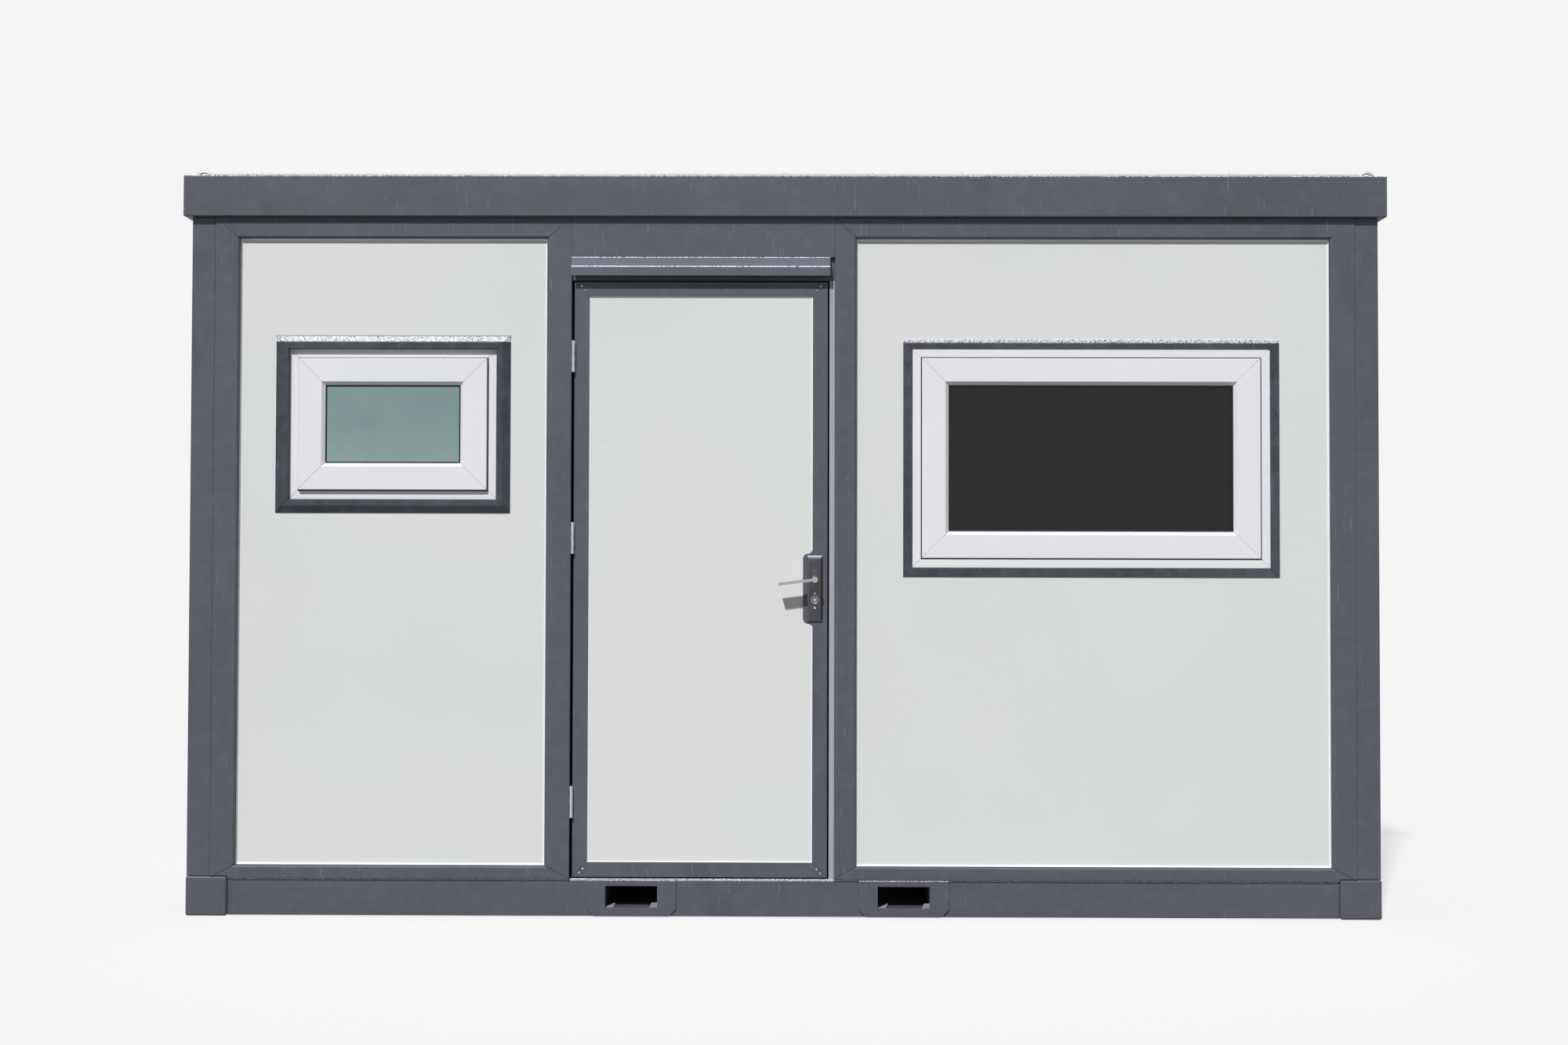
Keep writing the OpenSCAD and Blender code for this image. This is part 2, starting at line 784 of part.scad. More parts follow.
module door_hinges_moving() {
    color(bright_metal)
        on_front()
        for (h = hinge_heights) {
            z0 = hinge_z0(h);
            difference() {
                union() {
                    hinge_side(z0, [1, 3], leaf_x0);
                    block_between([leaf_x0, leaf_recess, z0],
                        [leaf_x0 + hinge_t, leaf_recess + hinge_reach, z0 + hinge_h]);
                    for (k = [1, 3])
                        block_between([leaf_x0, pin_y, knuckle_z(z0, k)],
                            [leaf_x0 + hinge_t, leaf_recess + hinge_t,
                                knuckle_z(z0, k) + knuckle_h]);
                }
                translate([pin_x, pin_y, z0 - eps])
                    cylinder(r = pin_r + running_fit, h = hinge_h + 2 * eps);
            }
        }
}

// ---- Lock and levers ----

// A lock plate with its bevelled face at y0, bored for the lever's neck and the key cylinder
module lock_plate(y0) {
    b = lock_bevel;
    x = lock_w / 2;
    z = lock_h / 2;
    difference() {
        translate([lock_x, y0, lock_mid_z])
            intersection() {
                translate([0, 0, -z]) linear_extrude(2 * z)
                    polygon([[-x, b], [b - x, 0], [x - b, 0], [x, b], [x, lock_t], [-x, lock_t]]);
                along_x(-x, x)
                    polygon([[b, -z], [0, 2 * b - z], [0, z - 2 * b], [b, z],
                        [lock_t, z], [lock_t, -z]]);
            }
        rod_y(lock_x, lever_z, neck_r + running_fit, y0 - eps, y0 + lock_t + eps);
        rod_y(lock_x, key_z, key_r + fixed_fit, y0 - eps, y0 + lock_t + eps);
    }
}

// Turns a fitting on the leaf's outside into the same fitting on its inside
module on_leaf_inside() {
    translate([0, 2 * leaf_recess + leaf_t, 0]) mirror([0, 1, 0]) children();
}

module lock_plate_outside() {
    color(lock_metal) on_front() lock_plate(plate_y);
}

module lock_plate_inside() {
    color(lock_metal) on_front() on_leaf_inside() lock_plate(plate_y);
}

module key_cylinder() {
    y0 = plate_y - key_proud;
    y1 = leaf_recess + leaf_t + lock_t + key_proud;
    color(bright_metal)
        on_front() {
            rod_y(lock_x, key_z, key_collar_r, y0, plate_y);
            rod_y(lock_x, key_z, key_r, y0, y1);
        }
}

// A flat blade on a round neck; the neck ends at the leaf's face
module lever() {
    y1 = leaf_recess - blade_standoff;
    y0 = y1 - blade_d;
    rod_y(lock_x, lever_z, neck_r, y0 + blade_d / 2, leaf_recess);
    translate([lock_x, 0, lever_z])
        rotate([0, -blade_droop, 0])
        wall_extrude(y0, blade_d)
        union() {
            translate([-blade_l, -blade_h / 2]) square([blade_l, blade_h]);
            circle(r = neck_r + hub_rim);
        }
}

module lever_outside() {
    color(bright_metal)
        on_front() {
            lever();
            rod_y(lock_x, lever_z, spindle_r, leaf_recess - lock_t, leaf_recess + leaf_t);
        }
}

module lever_inside() {
    color(bright_metal) on_front() on_leaf_inside() lever();
}

// ---- Windows ----

module window_trim(frame, width, proud, slope) {
    color(dark_steel)
        on_front()
        mitred_ring(grow(frame, width), frame, board_recess - proud, proud,
            out_bevel = [slope, slope > 0 ? proud - 2 : 0]);
}

module window_frame(frame) {
    color(upvc_white)
        on_front() mitred_ring(frame, grow(frame, -frame_w), board_recess, board_t);
}

module window_sash(frame, proud) {
    r = grow(frame, -frame_w);
    color(upvc_white)
        on_front()
        mitred_ring(r, grow(r, -sash_w), board_recess - proud, sash_d,
            out_bevel = [2, 2], in_bevel = [sash_bevel, sash_bevel]);
}

module window_glass(frame, proud, tint) {
    r = grow(frame, -frame_w - sash_w);
    y0 = board_recess - proud + glass_setback;
    color(tint)
        on_front() block_between([r[0], y0, r[2]], [r[1], y0 + glass_t, r[3]]);
}

module small_window_trim() {
    window_trim(small_frame, small_trim_w, small_trim_proud, small_trim_slope);
}

module small_window_frame() {
    window_frame(small_frame);
}

module small_window_sash() {
    window_sash(small_frame, small_sash_proud);
}

module small_window_glass() {
    window_glass(small_frame, small_sash_proud, frosted_glass);
}

module large_window_trim() {
    window_trim(large_frame, large_trim_w, large_trim_proud, 0);
}

module large_window_frame() {
    window_frame(large_frame);
}

module large_window_sash() {
    window_sash(large_frame, large_sash_proud);
}

module large_window_glass() {
    window_glass(large_frame, large_sash_proud, clear_glass);
}

// ---- Roof ----

// A roof beam along a side of the given half length, at a distance from the middle,
// mitred to its neighbours; inset opens the line of the mitre
module roof_beam(half_length, distance, inset = 0) {
    x = half_length - inset;
    intersection() {
        translate([0, -distance, wall_z1]) channel(-x, x, roof_beam_h);
        translate([0, 0, wall_z1])
            linear_extrude(roof_beam_h)
            polygon([[-x, -distance], [x, -distance],
                [x - beam_d, beam_d - distance], [beam_d - x, beam_d - distance]]);
    }
}

module roof_beams() {
    color(dark_steel)
        for (turn = [0, 180]) {
            rotate([0, 0, turn]) roof_beam(roof_x, roof_y);
            rotate([0, 0, turn + 90]) roof_beam(roof_y, roof_x, mitre_gap);
        }
}

// Height of the roof sheet's top above its seat, at a distance y from the middle
function crown_at(y, half) = roof_edge_t + roof_crown * (1 - pow(y / half, 2));

// A sheet that rises to a low curve, cut clear of the lifting eyes at its corners
module roof_sheet() {
    half = roof_y - roof_margin;
    top = [for (i = [0:crown_steps]) let (y = half - 2 * half * i / crown_steps)
        [y, cabin_h + crown_at(y, half)]];
    notch_x = 2 * (eye_in + eye_mid_r + eye_bar_r + eye_clear);
    notch_y = 2 * (eye_back + 2 * eye_bar_r + eye_clear);
    color(roof_grey)
        difference() {
            along_x(roof_margin - roof_x, roof_x - roof_margin)
                polygon(concat([[-half, cabin_h], [half, cabin_h]], top));
            for (sx = [-1, 1], sy = [-1, 1])
                translate([sx * roof_x, sy * roof_y, cabin_h])
                cube([notch_x, notch_y, 4 * roof_crown], center = true);
        }
}

// The ceiling lies on the lower flanges of the roof beams
module ceiling_panel() {
    x = roof_x - steel_t;
    y = roof_y - steel_t;
    z = wall_z1 + steel_t;
    color(board_white) block_between([-x, -y, z], [x, y, z + ceiling_t]);
}

// Half rings welded to the roof frame's top, near its corners
module lifting_eyes() {
    color(dark_steel)
        for (sx = [-1, 1], sy = [-1, 1])
            translate([sx * eye_x, sy * eye_y, cabin_h])
            rotate([90, 0, 0])
            rotate_extrude(angle = 180)
            translate([eye_mid_r, 0])
            circle(r = eye_bar_r);
}

corner_blocks();
base_beams();
floor_joists();
fork_pocket_left();
fork_pocket_right();
floor_deck();
corner_posts();
front_left_surround();
front_right_surround();
front_left_board();
front_middle_board();
front_right_board();
left_wall_surround();
left_wall_boards();
right_wall_surround();
right_wall_boards();
back_wall_surround();
back_wall_boards();
lintel();
door_hood();
door_head();
door_latch_jamb();
door_stops();
door_threshold();
door_hinges_fixed();
door_panel();
door_edge_frame();
door_hinges_moving();
lock_plate_outside();
lock_plate_inside();
key_cylinder();
lever_outside();
lever_inside();
small_window_trim();
small_window_frame();
small_window_sash();
small_window_glass();
large_window_trim();
large_window_frame();
large_window_sash();
large_window_glass();
roof_beams();
roof_sheet();
ceiling_panel();
lifting_eyes();
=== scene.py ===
# %% [markdown]
# # A portable office cabin
# The cabin arrives as a finished frame of CAD parts: steel, boards, door, windows and roof.
# Blender gives it what a drawing leaves out: paint, glass, sealant, screws and rubber.
# We could remodel everything here, but the CAD parts are exact, so each one stays as it is and
# only gets a finish and slightly rounded edges. New pieces are built around them from their sizes.
# Blender's start file may hold a cube, a camera and a lamp, so the stage is cleared first.

# %% Load the frame
import json
import math
import bmesh
import bpy
from mathutils import Matrix, Vector

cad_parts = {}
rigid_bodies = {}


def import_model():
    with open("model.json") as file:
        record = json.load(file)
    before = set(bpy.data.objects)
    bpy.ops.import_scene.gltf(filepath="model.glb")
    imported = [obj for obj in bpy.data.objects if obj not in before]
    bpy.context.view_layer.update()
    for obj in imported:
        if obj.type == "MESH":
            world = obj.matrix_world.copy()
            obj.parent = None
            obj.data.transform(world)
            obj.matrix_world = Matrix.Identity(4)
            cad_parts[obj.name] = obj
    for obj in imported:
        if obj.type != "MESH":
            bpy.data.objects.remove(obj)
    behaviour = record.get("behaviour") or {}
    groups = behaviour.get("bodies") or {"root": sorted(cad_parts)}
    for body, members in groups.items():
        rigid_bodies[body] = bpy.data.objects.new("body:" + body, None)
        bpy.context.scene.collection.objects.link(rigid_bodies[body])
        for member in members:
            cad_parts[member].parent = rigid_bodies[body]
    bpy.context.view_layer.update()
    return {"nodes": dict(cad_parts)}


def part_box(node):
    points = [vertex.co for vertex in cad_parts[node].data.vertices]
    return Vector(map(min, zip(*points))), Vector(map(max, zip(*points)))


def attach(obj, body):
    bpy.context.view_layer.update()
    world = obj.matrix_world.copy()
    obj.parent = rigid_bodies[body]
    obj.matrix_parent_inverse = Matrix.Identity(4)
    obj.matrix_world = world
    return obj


for leftover in list(bpy.data.objects):
    bpy.data.objects.remove(leftover)
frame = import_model()
nodes = frame["nodes"]

# %% [markdown]
# ## The camera
# The cabin is seen almost square on, from about eight metres and at chest height, with a
# slightly long lens. A camera's turn can be typed in as three angles, but multiplying three
# plain rotations shows the order: swing left, tip up, then roll.

# %% Camera
CAMERA_PLACE = (0.0565, -7.988, 1.151)          # metres
SWING, TIP, ROLL = 0.0079, 0.0254, 0.0024       # radians
SENSOR, LENS = 36.0, 46.404                     # millimetres
FARTHEST_SEEN = 200                             # metres

camera = bpy.data.objects.new("camera", bpy.data.cameras.new("camera"))
bpy.context.scene.collection.objects.link(camera)
camera.data.sensor_width = SENSOR
camera.data.lens = LENS
camera.data.clip_end = FARTHEST_SEEN
camera.matrix_world = (Matrix.Translation(CAMERA_PLACE) @ Matrix.Rotation(SWING, 4, "Z")
                       @ Matrix.Rotation(math.pi / 2 + TIP, 4, "X")
                       @ Matrix.Rotation(ROLL, 4, "Z"))
bpy.context.scene.camera = camera
bpy.context.scene.view_settings.view_transform = "Standard"
print("lens", round(LENS, 2), "mm")

# %% [markdown]
# ## The sun
# A plain picture wants one clear main light and a quiet fill. An area lamp near the cabin would
# light one end more than the other. A sun lamp's rays are parallel, so both ends match. It
# stands to the upper left and draws the hood's and the lever's shadows, and its small angle
# makes their edges soft.

# %% Sun
SUN_STRENGTH = 3.3
SUN_SIZE = math.radians(2.5)
SUN_FROM_LEFT, SUN_HEIGHT = math.radians(17.5), math.radians(46)

sun = bpy.data.objects.new("sun", bpy.data.lights.new("sun", "SUN"))
bpy.context.scene.collection.objects.link(sun)
sun.data.energy = SUN_STRENGTH
sun.data.angle = SUN_SIZE
towards_sun = Vector((-math.sin(SUN_FROM_LEFT) * math.cos(SUN_HEIGHT),
                      -math.cos(SUN_FROM_LEFT) * math.cos(SUN_HEIGHT), math.sin(SUN_HEIGHT)))
sun.rotation_euler = towards_sun.to_track_quat("Z", "Y").to_euler()
print("sun strength", SUN_STRENGTH, "at", round(math.degrees(SUN_HEIGHT)), "degrees")

# %% [markdown]
# ## The world
# The world fills the shadows. If it were bright enough to pass for a white background, it would
# wash them out. So rays that come straight from the camera, or by a reflection or through
# glass, see a pale backdrop in its place, and only the soft light stays dim.

# %% World
BACKDROP = (0.913, 0.913, 0.913, 1)
FILL = 0.21


def seen_directly(tree):
    """1 for camera, glossy and transmission rays, 0 for the rays that carry soft light."""
    path = tree.nodes.new("ShaderNodeLightPath")
    total = path.outputs["Is Camera Ray"]
    for name in ("Is Glossy Ray", "Is Transmission Ray"):
        add = tree.nodes.new("ShaderNodeMath")
        add.operation = "MAXIMUM"
        tree.links.new(total, add.inputs[0])
        tree.links.new(path.outputs[name], add.inputs[1])
        total = add.outputs[0]
    return total


world = bpy.data.worlds.new("studio")
bpy.context.scene.world = world
world.use_nodes = True
fill = world.node_tree.nodes["Background"]
fill.inputs["Color"].default_value = (1, 1, 1, 1)
fill.inputs["Strength"].default_value = FILL
backdrop = world.node_tree.nodes.new("ShaderNodeBackground")
backdrop.inputs["Color"].default_value = BACKDROP
choice = world.node_tree.nodes.new("ShaderNodeMixShader")
world.node_tree.links.new(seen_directly(world.node_tree), choice.inputs[0])
world.node_tree.links.new(fill.outputs[0], choice.inputs[1])
world.node_tree.links.new(backdrop.outputs[0], choice.inputs[2])
world.node_tree.links.new(choice.outputs[0],
                          world.node_tree.nodes["World Output"].inputs["Surface"])

print("world fill", FILL, "backdrop", BACKDROP[0])

# %% [markdown]
# ## The floor
# The floor has to look as pale as the backdrop, still show the cabin's shadow, and return
# little light to the walls. One plain colour can't do all three. So it has a pale tone to look
# at and a darker one for soft light, and a share of its own glow hides where it ends.

# %% Floor
FLOOR_HALF = 60.0                               # metres
FLOOR_SOFT, FLOOR_SEEN = (0.24, 0.24, 0.24, 1), (0.88, 0.88, 0.88, 1)
FLOOR_GLOW = (0.93, 0.93, 0.93, 1)
GLOW_SHARE = 0.72                               # what is left shows the cabin's shadow

floor_mesh = bpy.data.meshes.new("studio_floor")
floor_mesh.from_pydata([(-FLOOR_HALF, -FLOOR_HALF, 0), (FLOOR_HALF, -FLOOR_HALF, 0),
                        (FLOOR_HALF, FLOOR_HALF, 0), (-FLOOR_HALF, FLOOR_HALF, 0)],
                       [], [(0, 1, 2, 3)])
floor = bpy.data.objects.new("studio_floor", floor_mesh)
bpy.context.scene.collection.objects.link(floor)

floor_paint = bpy.data.materials.new("studio_floor")
floor_paint.use_nodes = True
floor_mesh.materials.append(floor_paint)
floor_tree = floor_paint.node_tree
matt = floor_tree.nodes["Principled BSDF"]
matt.inputs["Roughness"].default_value = 1.0
matt.inputs["Specular IOR Level"].default_value = 0.0
two_tone = floor_tree.nodes.new("ShaderNodeMix")
two_tone.data_type = "RGBA"
tones = [s for s in two_tone.inputs if s.type == "RGBA"]
tones[0].default_value, tones[1].default_value = FLOOR_SOFT, FLOOR_SEEN
floor_tree.links.new(seen_directly(floor_tree), two_tone.inputs[0])
floor_tree.links.new([s for s in two_tone.outputs if s.type == "RGBA"][0],
                     matt.inputs["Base Color"])
glow = floor_tree.nodes.new("ShaderNodeEmission")
glow.inputs["Color"].default_value = FLOOR_GLOW
share = floor_tree.nodes.new("ShaderNodeMath")
share.operation = "MULTIPLY"
share.inputs[1].default_value = GLOW_SHARE
floor_tree.links.new(seen_directly(floor_tree), share.inputs[0])
both = floor_tree.nodes.new("ShaderNodeMixShader")
floor_tree.links.new(share.outputs[0], both.inputs[0])
floor_tree.links.new(matt.outputs[0], both.inputs[1])
floor_tree.links.new(glow.outputs[0], both.inputs[2])
floor_tree.links.new(both.outputs[0], floor_tree.nodes["Material Output"].inputs["Surface"])
print("floor", 2 * FLOOR_HALF, "m wide, glow share", GLOW_SHARE)

# %% [markdown]
# ## Building a finish
# Real paint is never one flat colour: it drifts a little from place to place, has a fine skin
# and shows a few marks. Image textures could carry that, but they stretch and repeat. Noise in
# the object's own coordinates has a true size in metres, so every finish below is made of it.
# This helper holds the node tree and keeps the wiring short.


# %% A helper for finishes
def linear(code):
    """A colour written as six hex digits, as the numbers that a shader wants."""
    parts = [int(code[i:i + 2], 16) / 255 for i in (0, 2, 4)]
    return tuple(c / 12.92 if c <= 0.04045 else ((c + 0.055) / 1.055) ** 2.4
                 for c in parts) + (1.0,)


class Finish:
    """A material in the making: a Principled shader fed by noise in metres."""

    def __init__(self, name, color, roughness, metallic=0.0, specular=0.5, coat=0.0):
        self.material = bpy.data.materials.new(name)
        self.material.use_nodes = True
        self.tree = self.material.node_tree
        self.shader = self.tree.nodes["Principled BSDF"]
        self.set("Base Color", linear(color))
        self.set("Roughness", roughness)
        self.set("Metallic", metallic)
        self.set("Specular IOR Level", specular)
        self.set("Coat Weight", coat)
        self.place = self.tree.nodes.new("ShaderNodeTexCoord").outputs["Object"]
        self.color = linear(color)

    def set(self, socket, value):
        self.shader.inputs[socket].default_value = value

    def join(self, source, socket):
        self.tree.links.new(source, socket)

    def noise(self, scale, detail=3.0, stretch=(1, 1, 1), shift=0.0):
        """Cloudy noise from 0 to 1; a patch is about 1 / scale metres wide."""
        mapping = self.tree.nodes.new("ShaderNodeMapping")
        mapping.inputs["Scale"].default_value = stretch
        mapping.inputs["Location"].default_value = (shift, shift, shift)
        self.join(self.place, mapping.inputs["Vector"])
        node = self.tree.nodes.new("ShaderNodeTexNoise")
        node.inputs["Scale"].default_value = scale
        node.inputs["Detail"].default_value = detail
        self.join(mapping.outputs[0], node.inputs["Vector"])
        return node.outputs["Fac"]

    def along(self, axis):
        """The place along X, Y or Z, in metres."""
        split = self.tree.nodes.new("ShaderNodeSeparateXYZ")
        self.join(self.place, split.inputs[0])
        return split.outputs[axis]

    def math(self, operation, a, b=None):
        node = self.tree.nodes.new("ShaderNodeMath")
        node.operation = operation
        for socket, value in zip(node.inputs, (a, b)):
            if isinstance(value, (int, float)):
                socket.default_value = value
            elif value is not None:
                self.join(value, socket)
        return node.outputs[0]

    def fit(self, source, low, high, out_low=0.0, out_high=1.0):
        """Stretches the range low..high to out_low..out_high, and holds it at the ends."""
        node = self.tree.nodes.new("ShaderNodeMapRange")
        for name, value in (("From Min", low), ("From Max", high),
                            ("To Min", out_low), ("To Max", out_high)):
            node.inputs[name].default_value = value
        self.join(source, node.inputs["Value"])
        return node.outputs[0]

    def tint(self, mask, code):
        """Lays another colour over what is there already, where mask is high."""
        mix = self.tree.nodes.new("ShaderNodeMix")
        mix.data_type = "RGBA"
        sockets = [s for s in mix.inputs if s.type == "RGBA"]
        base = self.shader.inputs["Base Color"]
        if base.links:
            self.join(base.links[0].from_socket, sockets[0])
        else:
            sockets[0].default_value = self.color
        sockets[1].default_value = linear(code)
        self.join(mask, mix.inputs[0])
        self.join([s for s in mix.outputs if s.type == "RGBA"][0], base)

    def rough(self, source, low, high):
        self.join(self.fit(source, 0.3, 0.7, low, high), self.shader.inputs["Roughness"])

    def bump(self, height, depth, strength=1.0):
        """Raises the skin by height times depth, in metres."""
        node = self.tree.nodes.new("ShaderNodeBump")
        node.inputs["Strength"].default_value = strength
        node.inputs["Distance"].default_value = depth
        earlier = self.shader.inputs["Normal"]
        if earlier.links:
            self.join(earlier.links[0].from_socket, node.inputs["Normal"])
        self.join(height, node.inputs["Height"])
        self.join(node.outputs[0], self.shader.inputs["Normal"])


print("finish helper ready")

# %% [markdown]
# ## Blue-grey frame paint
# The steel is sprayed: the colour clouds slightly, the skin has a fine orange peel, and handling
# leaves pale specks and a few dull smears. Large, medium and small noise do one job each.
# On sharp folds a dotted pale line runs, partly chipped paint and partly a painted highlight where
# the sun glints on the fold. A line could be modelled as hundreds of chips, but a thin band of
# masked noise at a known height reads the same and costs nothing.


# %% Frame paint
def frame_paint(name, color="53565f", chip_and_glint_lines=()):
    """Sprayed steel; chip_and_glint_lines: (axis, place, half width, amount), chips and painted
    glint.
    """
    paint = Finish(name, color, 0.5, specular=0.35)
    paint.tint(paint.fit(paint.noise(2.3, 4), 0.38, 0.66, 0, 0.55), "4a4d55")
    paint.tint(paint.fit(paint.noise(21, 5, shift=3.1), 0.45, 0.75, 0, 0.35), "626672")
    smear = paint.math("MULTIPLY", paint.noise(9, 2, (1, 1, 0.35), 7.7),
                       paint.noise(1.1, 1, shift=2.2))
    paint.tint(paint.fit(smear, 0.36, 0.44, 0, 0.35), "3f424c")
    scratch = paint.noise(16, 1, (14, 14, 0.7), 1.3)
    paint.tint(paint.fit(scratch, 0.735, 0.76, 0, 0.4), "8b8f9c")
    speck = paint.noise(300, 1, shift=5.0)
    paint.tint(paint.fit(speck, 0.79, 0.81, 0, 0.7), "b9bcc6")
    # Each fold line is partly chipped paint and partly a painted highlight where the sun glints on
    # it.
    for axis, at, half, amount in chip_and_glint_lines:
        off = paint.math("ABSOLUTE", paint.math("SUBTRACT", paint.along(axis), at))
        band = paint.fit(off, half * 0.6, half, 1, 0)
        chips_and_glints = paint.fit(paint.noise(330, 2, shift=9.0), 0.5 - amount, 0.56 - amount)
        paint.tint(paint.math("MULTIPLY", band, chips_and_glints), "f2f3f8")
    paint.rough(paint.noise(6, 3, shift=4.0), 0.42, 0.6)
    paint.bump(paint.noise(650, 2), 0.00012, 0.5)
    paint.bump(paint.noise(5, 2), 0.0006, 0.35)
    return paint.material


hood_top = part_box("door_hood")[1].z
HOOD_SLOPE = 0.035                              # drop of the hood's sloping face
base_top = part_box("base_beams")[1].z
FRAME = frame_paint("frame_paint")
# The hood's lines at its top and its fold: chipped paint and painted sun glint.
HOOD = frame_paint("hood_paint", "5c5f6c",
                   [("Z", hood_top - 0.001, 0.0022, 0.05),
                    ("Z", hood_top - HOOD_SLOPE, 0.0024, 0.1)])
small_trim_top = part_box("small_window_trim")[1].z
# The trim's band is a painted highlight: the sun's glint along the trim's top bevel.
TRIM = frame_paint("trim_paint", "30323c", [("Z", small_trim_top - 0.012, 0.012, 0.07)])
roof_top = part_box("roof_beams")[1].z
# The roof beam's and the base's top edge lines: chipped paint and painted sun glint.
ROOF_BEAM = frame_paint("roof_beam_paint", chip_and_glint_lines=[("Z", roof_top - 0.001, 0.003, 0.02)])
BASE = frame_paint("base_paint", chip_and_glint_lines=[("Z", base_top - 0.003, 0.004, 0.03)])
LEAF_PAINT = frame_paint("door_frame_paint", "555862")
print("hood fold at", round(hood_top - HOOD_SLOPE, 3))

# %% [markdown]
# ## Boards, plastic and sealant
# The wall boards are coated sheet on foam: a soft satin white that leans a little green in one
# place and pink in another, over a skin that is not perfectly flat. Window plastic is whiter,
# smoother and shinier. Sealant is a duller white. The same helper serves, with other numbers.

# %% White finishes
board = Finish("board_white", "dfe1e1", 0.42, specular=0.35)
board.tint(board.fit(board.noise(0.9, 2), 0.4, 0.65, 0, 0.8), "d9dfdd")
board.tint(board.fit(board.noise(1.2, 2, shift=6.0), 0.5, 0.7, 0, 0.8), "e1dfe1")
board.tint(board.fit(board.noise(34, 4, shift=2.0), 0.62, 0.8, 0, 0.25), "c9ccca")
board.rough(board.noise(3, 3), 0.36, 0.5)
board.bump(board.noise(1.6, 2), 0.003, 0.3)
board.bump(board.noise(700, 2), 0.00008, 0.4)
BOARD = board.material

plastic = Finish("window_plastic", "e9eaed", 0.3, specular=0.45)
plastic.tint(plastic.fit(plastic.noise(4, 2), 0.4, 0.75, 0, 0.4), "e3e5e9")
plastic.rough(plastic.noise(12, 3), 0.24, 0.38)
plastic.bump(plastic.noise(420, 2), 0.00005, 0.4)
PLASTIC = plastic.material

sealant = Finish("white_sealant", "f0f1ef", 0.55, specular=0.3)
sealant.tint(sealant.fit(sealant.noise(60, 3), 0.45, 0.7, 0, 0.4), "dfe0dc")
sealant.bump(sealant.noise(90, 2), 0.0006, 0.4)
SEALANT = sealant.material

strip = Finish("pale_steel", "a9acb6", 0.42, specular=0.4)
strip.tint(strip.fit(strip.noise(11, 4, (1, 1, 0.3)), 0.45, 0.7, 0, 0.6), "989ba6")
strip.tint(strip.fit(strip.noise(240, 1), 0.76, 0.8, 0, 0.7), "d5d7de")
strip.bump(strip.noise(600, 2), 0.0001, 0.4)
STRIP = strip.material
print("white finishes:", BOARD.name, PLASTIC.name, SEALANT.name, STRIP.name)

# %% [markdown]
# ## Metal
# Brushed metal is metal whose fine noise is stretched one way, so its gloss streaks. The lock
# plate is dark, but its top and left edges, which face the sun, carry a painted highlight. The
# lever, the screws and the lifting eyes are the same metal with other colours and streaks.


# %% Metals
def brushed(name, color, roughness, stretch, depth=0.00003, painted_highlights=()):
    """Metal with streaks; painted_highlights lists the (axis, place, half width) of painted lit
    edges.
    """
    metal = Finish(name, color, roughness, metallic=1.0)
    streak = metal.noise(90, 3, stretch)
    metal.rough(streak, roughness * 0.75, roughness * 1.3)
    metal.tint(metal.fit(metal.noise(40, 3, shift=3.0), 0.5, 0.75, 0, 0.35), "6f7176")
    for axis, at, half in painted_highlights:
        off = metal.math("ABSOLUTE", metal.math("SUBTRACT", metal.along(axis), at))
        # Painted highlight: the edge is lightened as if the sun glinted on it.
        metal.tint(metal.fit(off, half * 0.7, half, 0.1, 0), "c4c3d6")
    metal.bump(streak, depth, 0.5)
    return metal.material


plate_low, plate_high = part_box("lock_plate_outside")
# The top and left edges get a painted highlight, on the sides that face the sun.
LOCK_METAL = brushed("dark_lock_metal", "4e4e52", 0.34, (18, 18, 0.6),
                     painted_highlights=[("Z", plate_high.z - 0.006, 0.0068),
                            ("X", plate_low.x + 0.0025, 0.003)])
BRIGHT_METAL = brushed("bright_metal", "c9cacf", 0.24, (1, 1, 12))
LEVER_METAL = brushed("lever_metal", "b4b2af", 0.2, (0.6, 8, 8))
GALVANISED = brushed("galvanised_steel", "c3c6cb", 0.38, (1, 1, 1))
print("metals:", LOCK_METAL.name, BRIGHT_METAL.name, LEVER_METAL.name, GALVANISED.name)

# %% [markdown]
# ## Rubber and glass
# Rubber is dark and dull. The large pane is clear and grey-green, so it looks dark with the room
# behind it. The small pane is frosted: hardly any light passes straight, so most of it is
# colour, paler towards its foot.

# %% Rubber and glass
rubber = Finish("black_rubber", "17181a", 0.6, specular=0.3)
rubber.tint(rubber.fit(rubber.noise(80, 3), 0.5, 0.75, 0, 0.5), "26282a")
rubber.bump(rubber.noise(500, 2), 0.0001, 0.4)
RUBBER = rubber.material

PALE_FOOT = 0.13                                # metres up the frosted pane
pane_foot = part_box("small_window_glass")[0].z
frosted = Finish("frosted_glass", "7d9a98", 0.3, specular=0.5, coat=0.6)
frosted.set("Coat Roughness", 0.12)
frosted.set("Transmission Weight", 0.12)
frosted.tint(frosted.fit(frosted.along("Z"), pane_foot + PALE_FOOT, pane_foot, 0, 0.5), "9ab0ab")
frosted.tint(frosted.fit(frosted.noise(7, 3), 0.45, 0.7, 0, 0.4), "6f8f8f")
frosted.bump(frosted.noise(900, 2), 0.0001, 0.6)
FROSTED = frosted.material

clear = Finish("clear_glass", "7c908a", 0.02, specular=0.5)
clear.set("Transmission Weight", 1.0)
clear.set("IOR", 1.38)
clear.bump(clear.noise(2.2, 1), 0.0015, 0.15)
CLEAR = clear.material
print("rubber and glass:", RUBBER.name, FROSTED.name, CLEAR.name)

# %% [markdown]
# ## Roof sheet and floor board
# The roof is pale coated sheet, clouded and speckled by weather. The floor is brown sheet with a
# grain. Stretching the noise along X turns clouds into grain, which is quicker than modelling
# it and sharper than a small image would be.

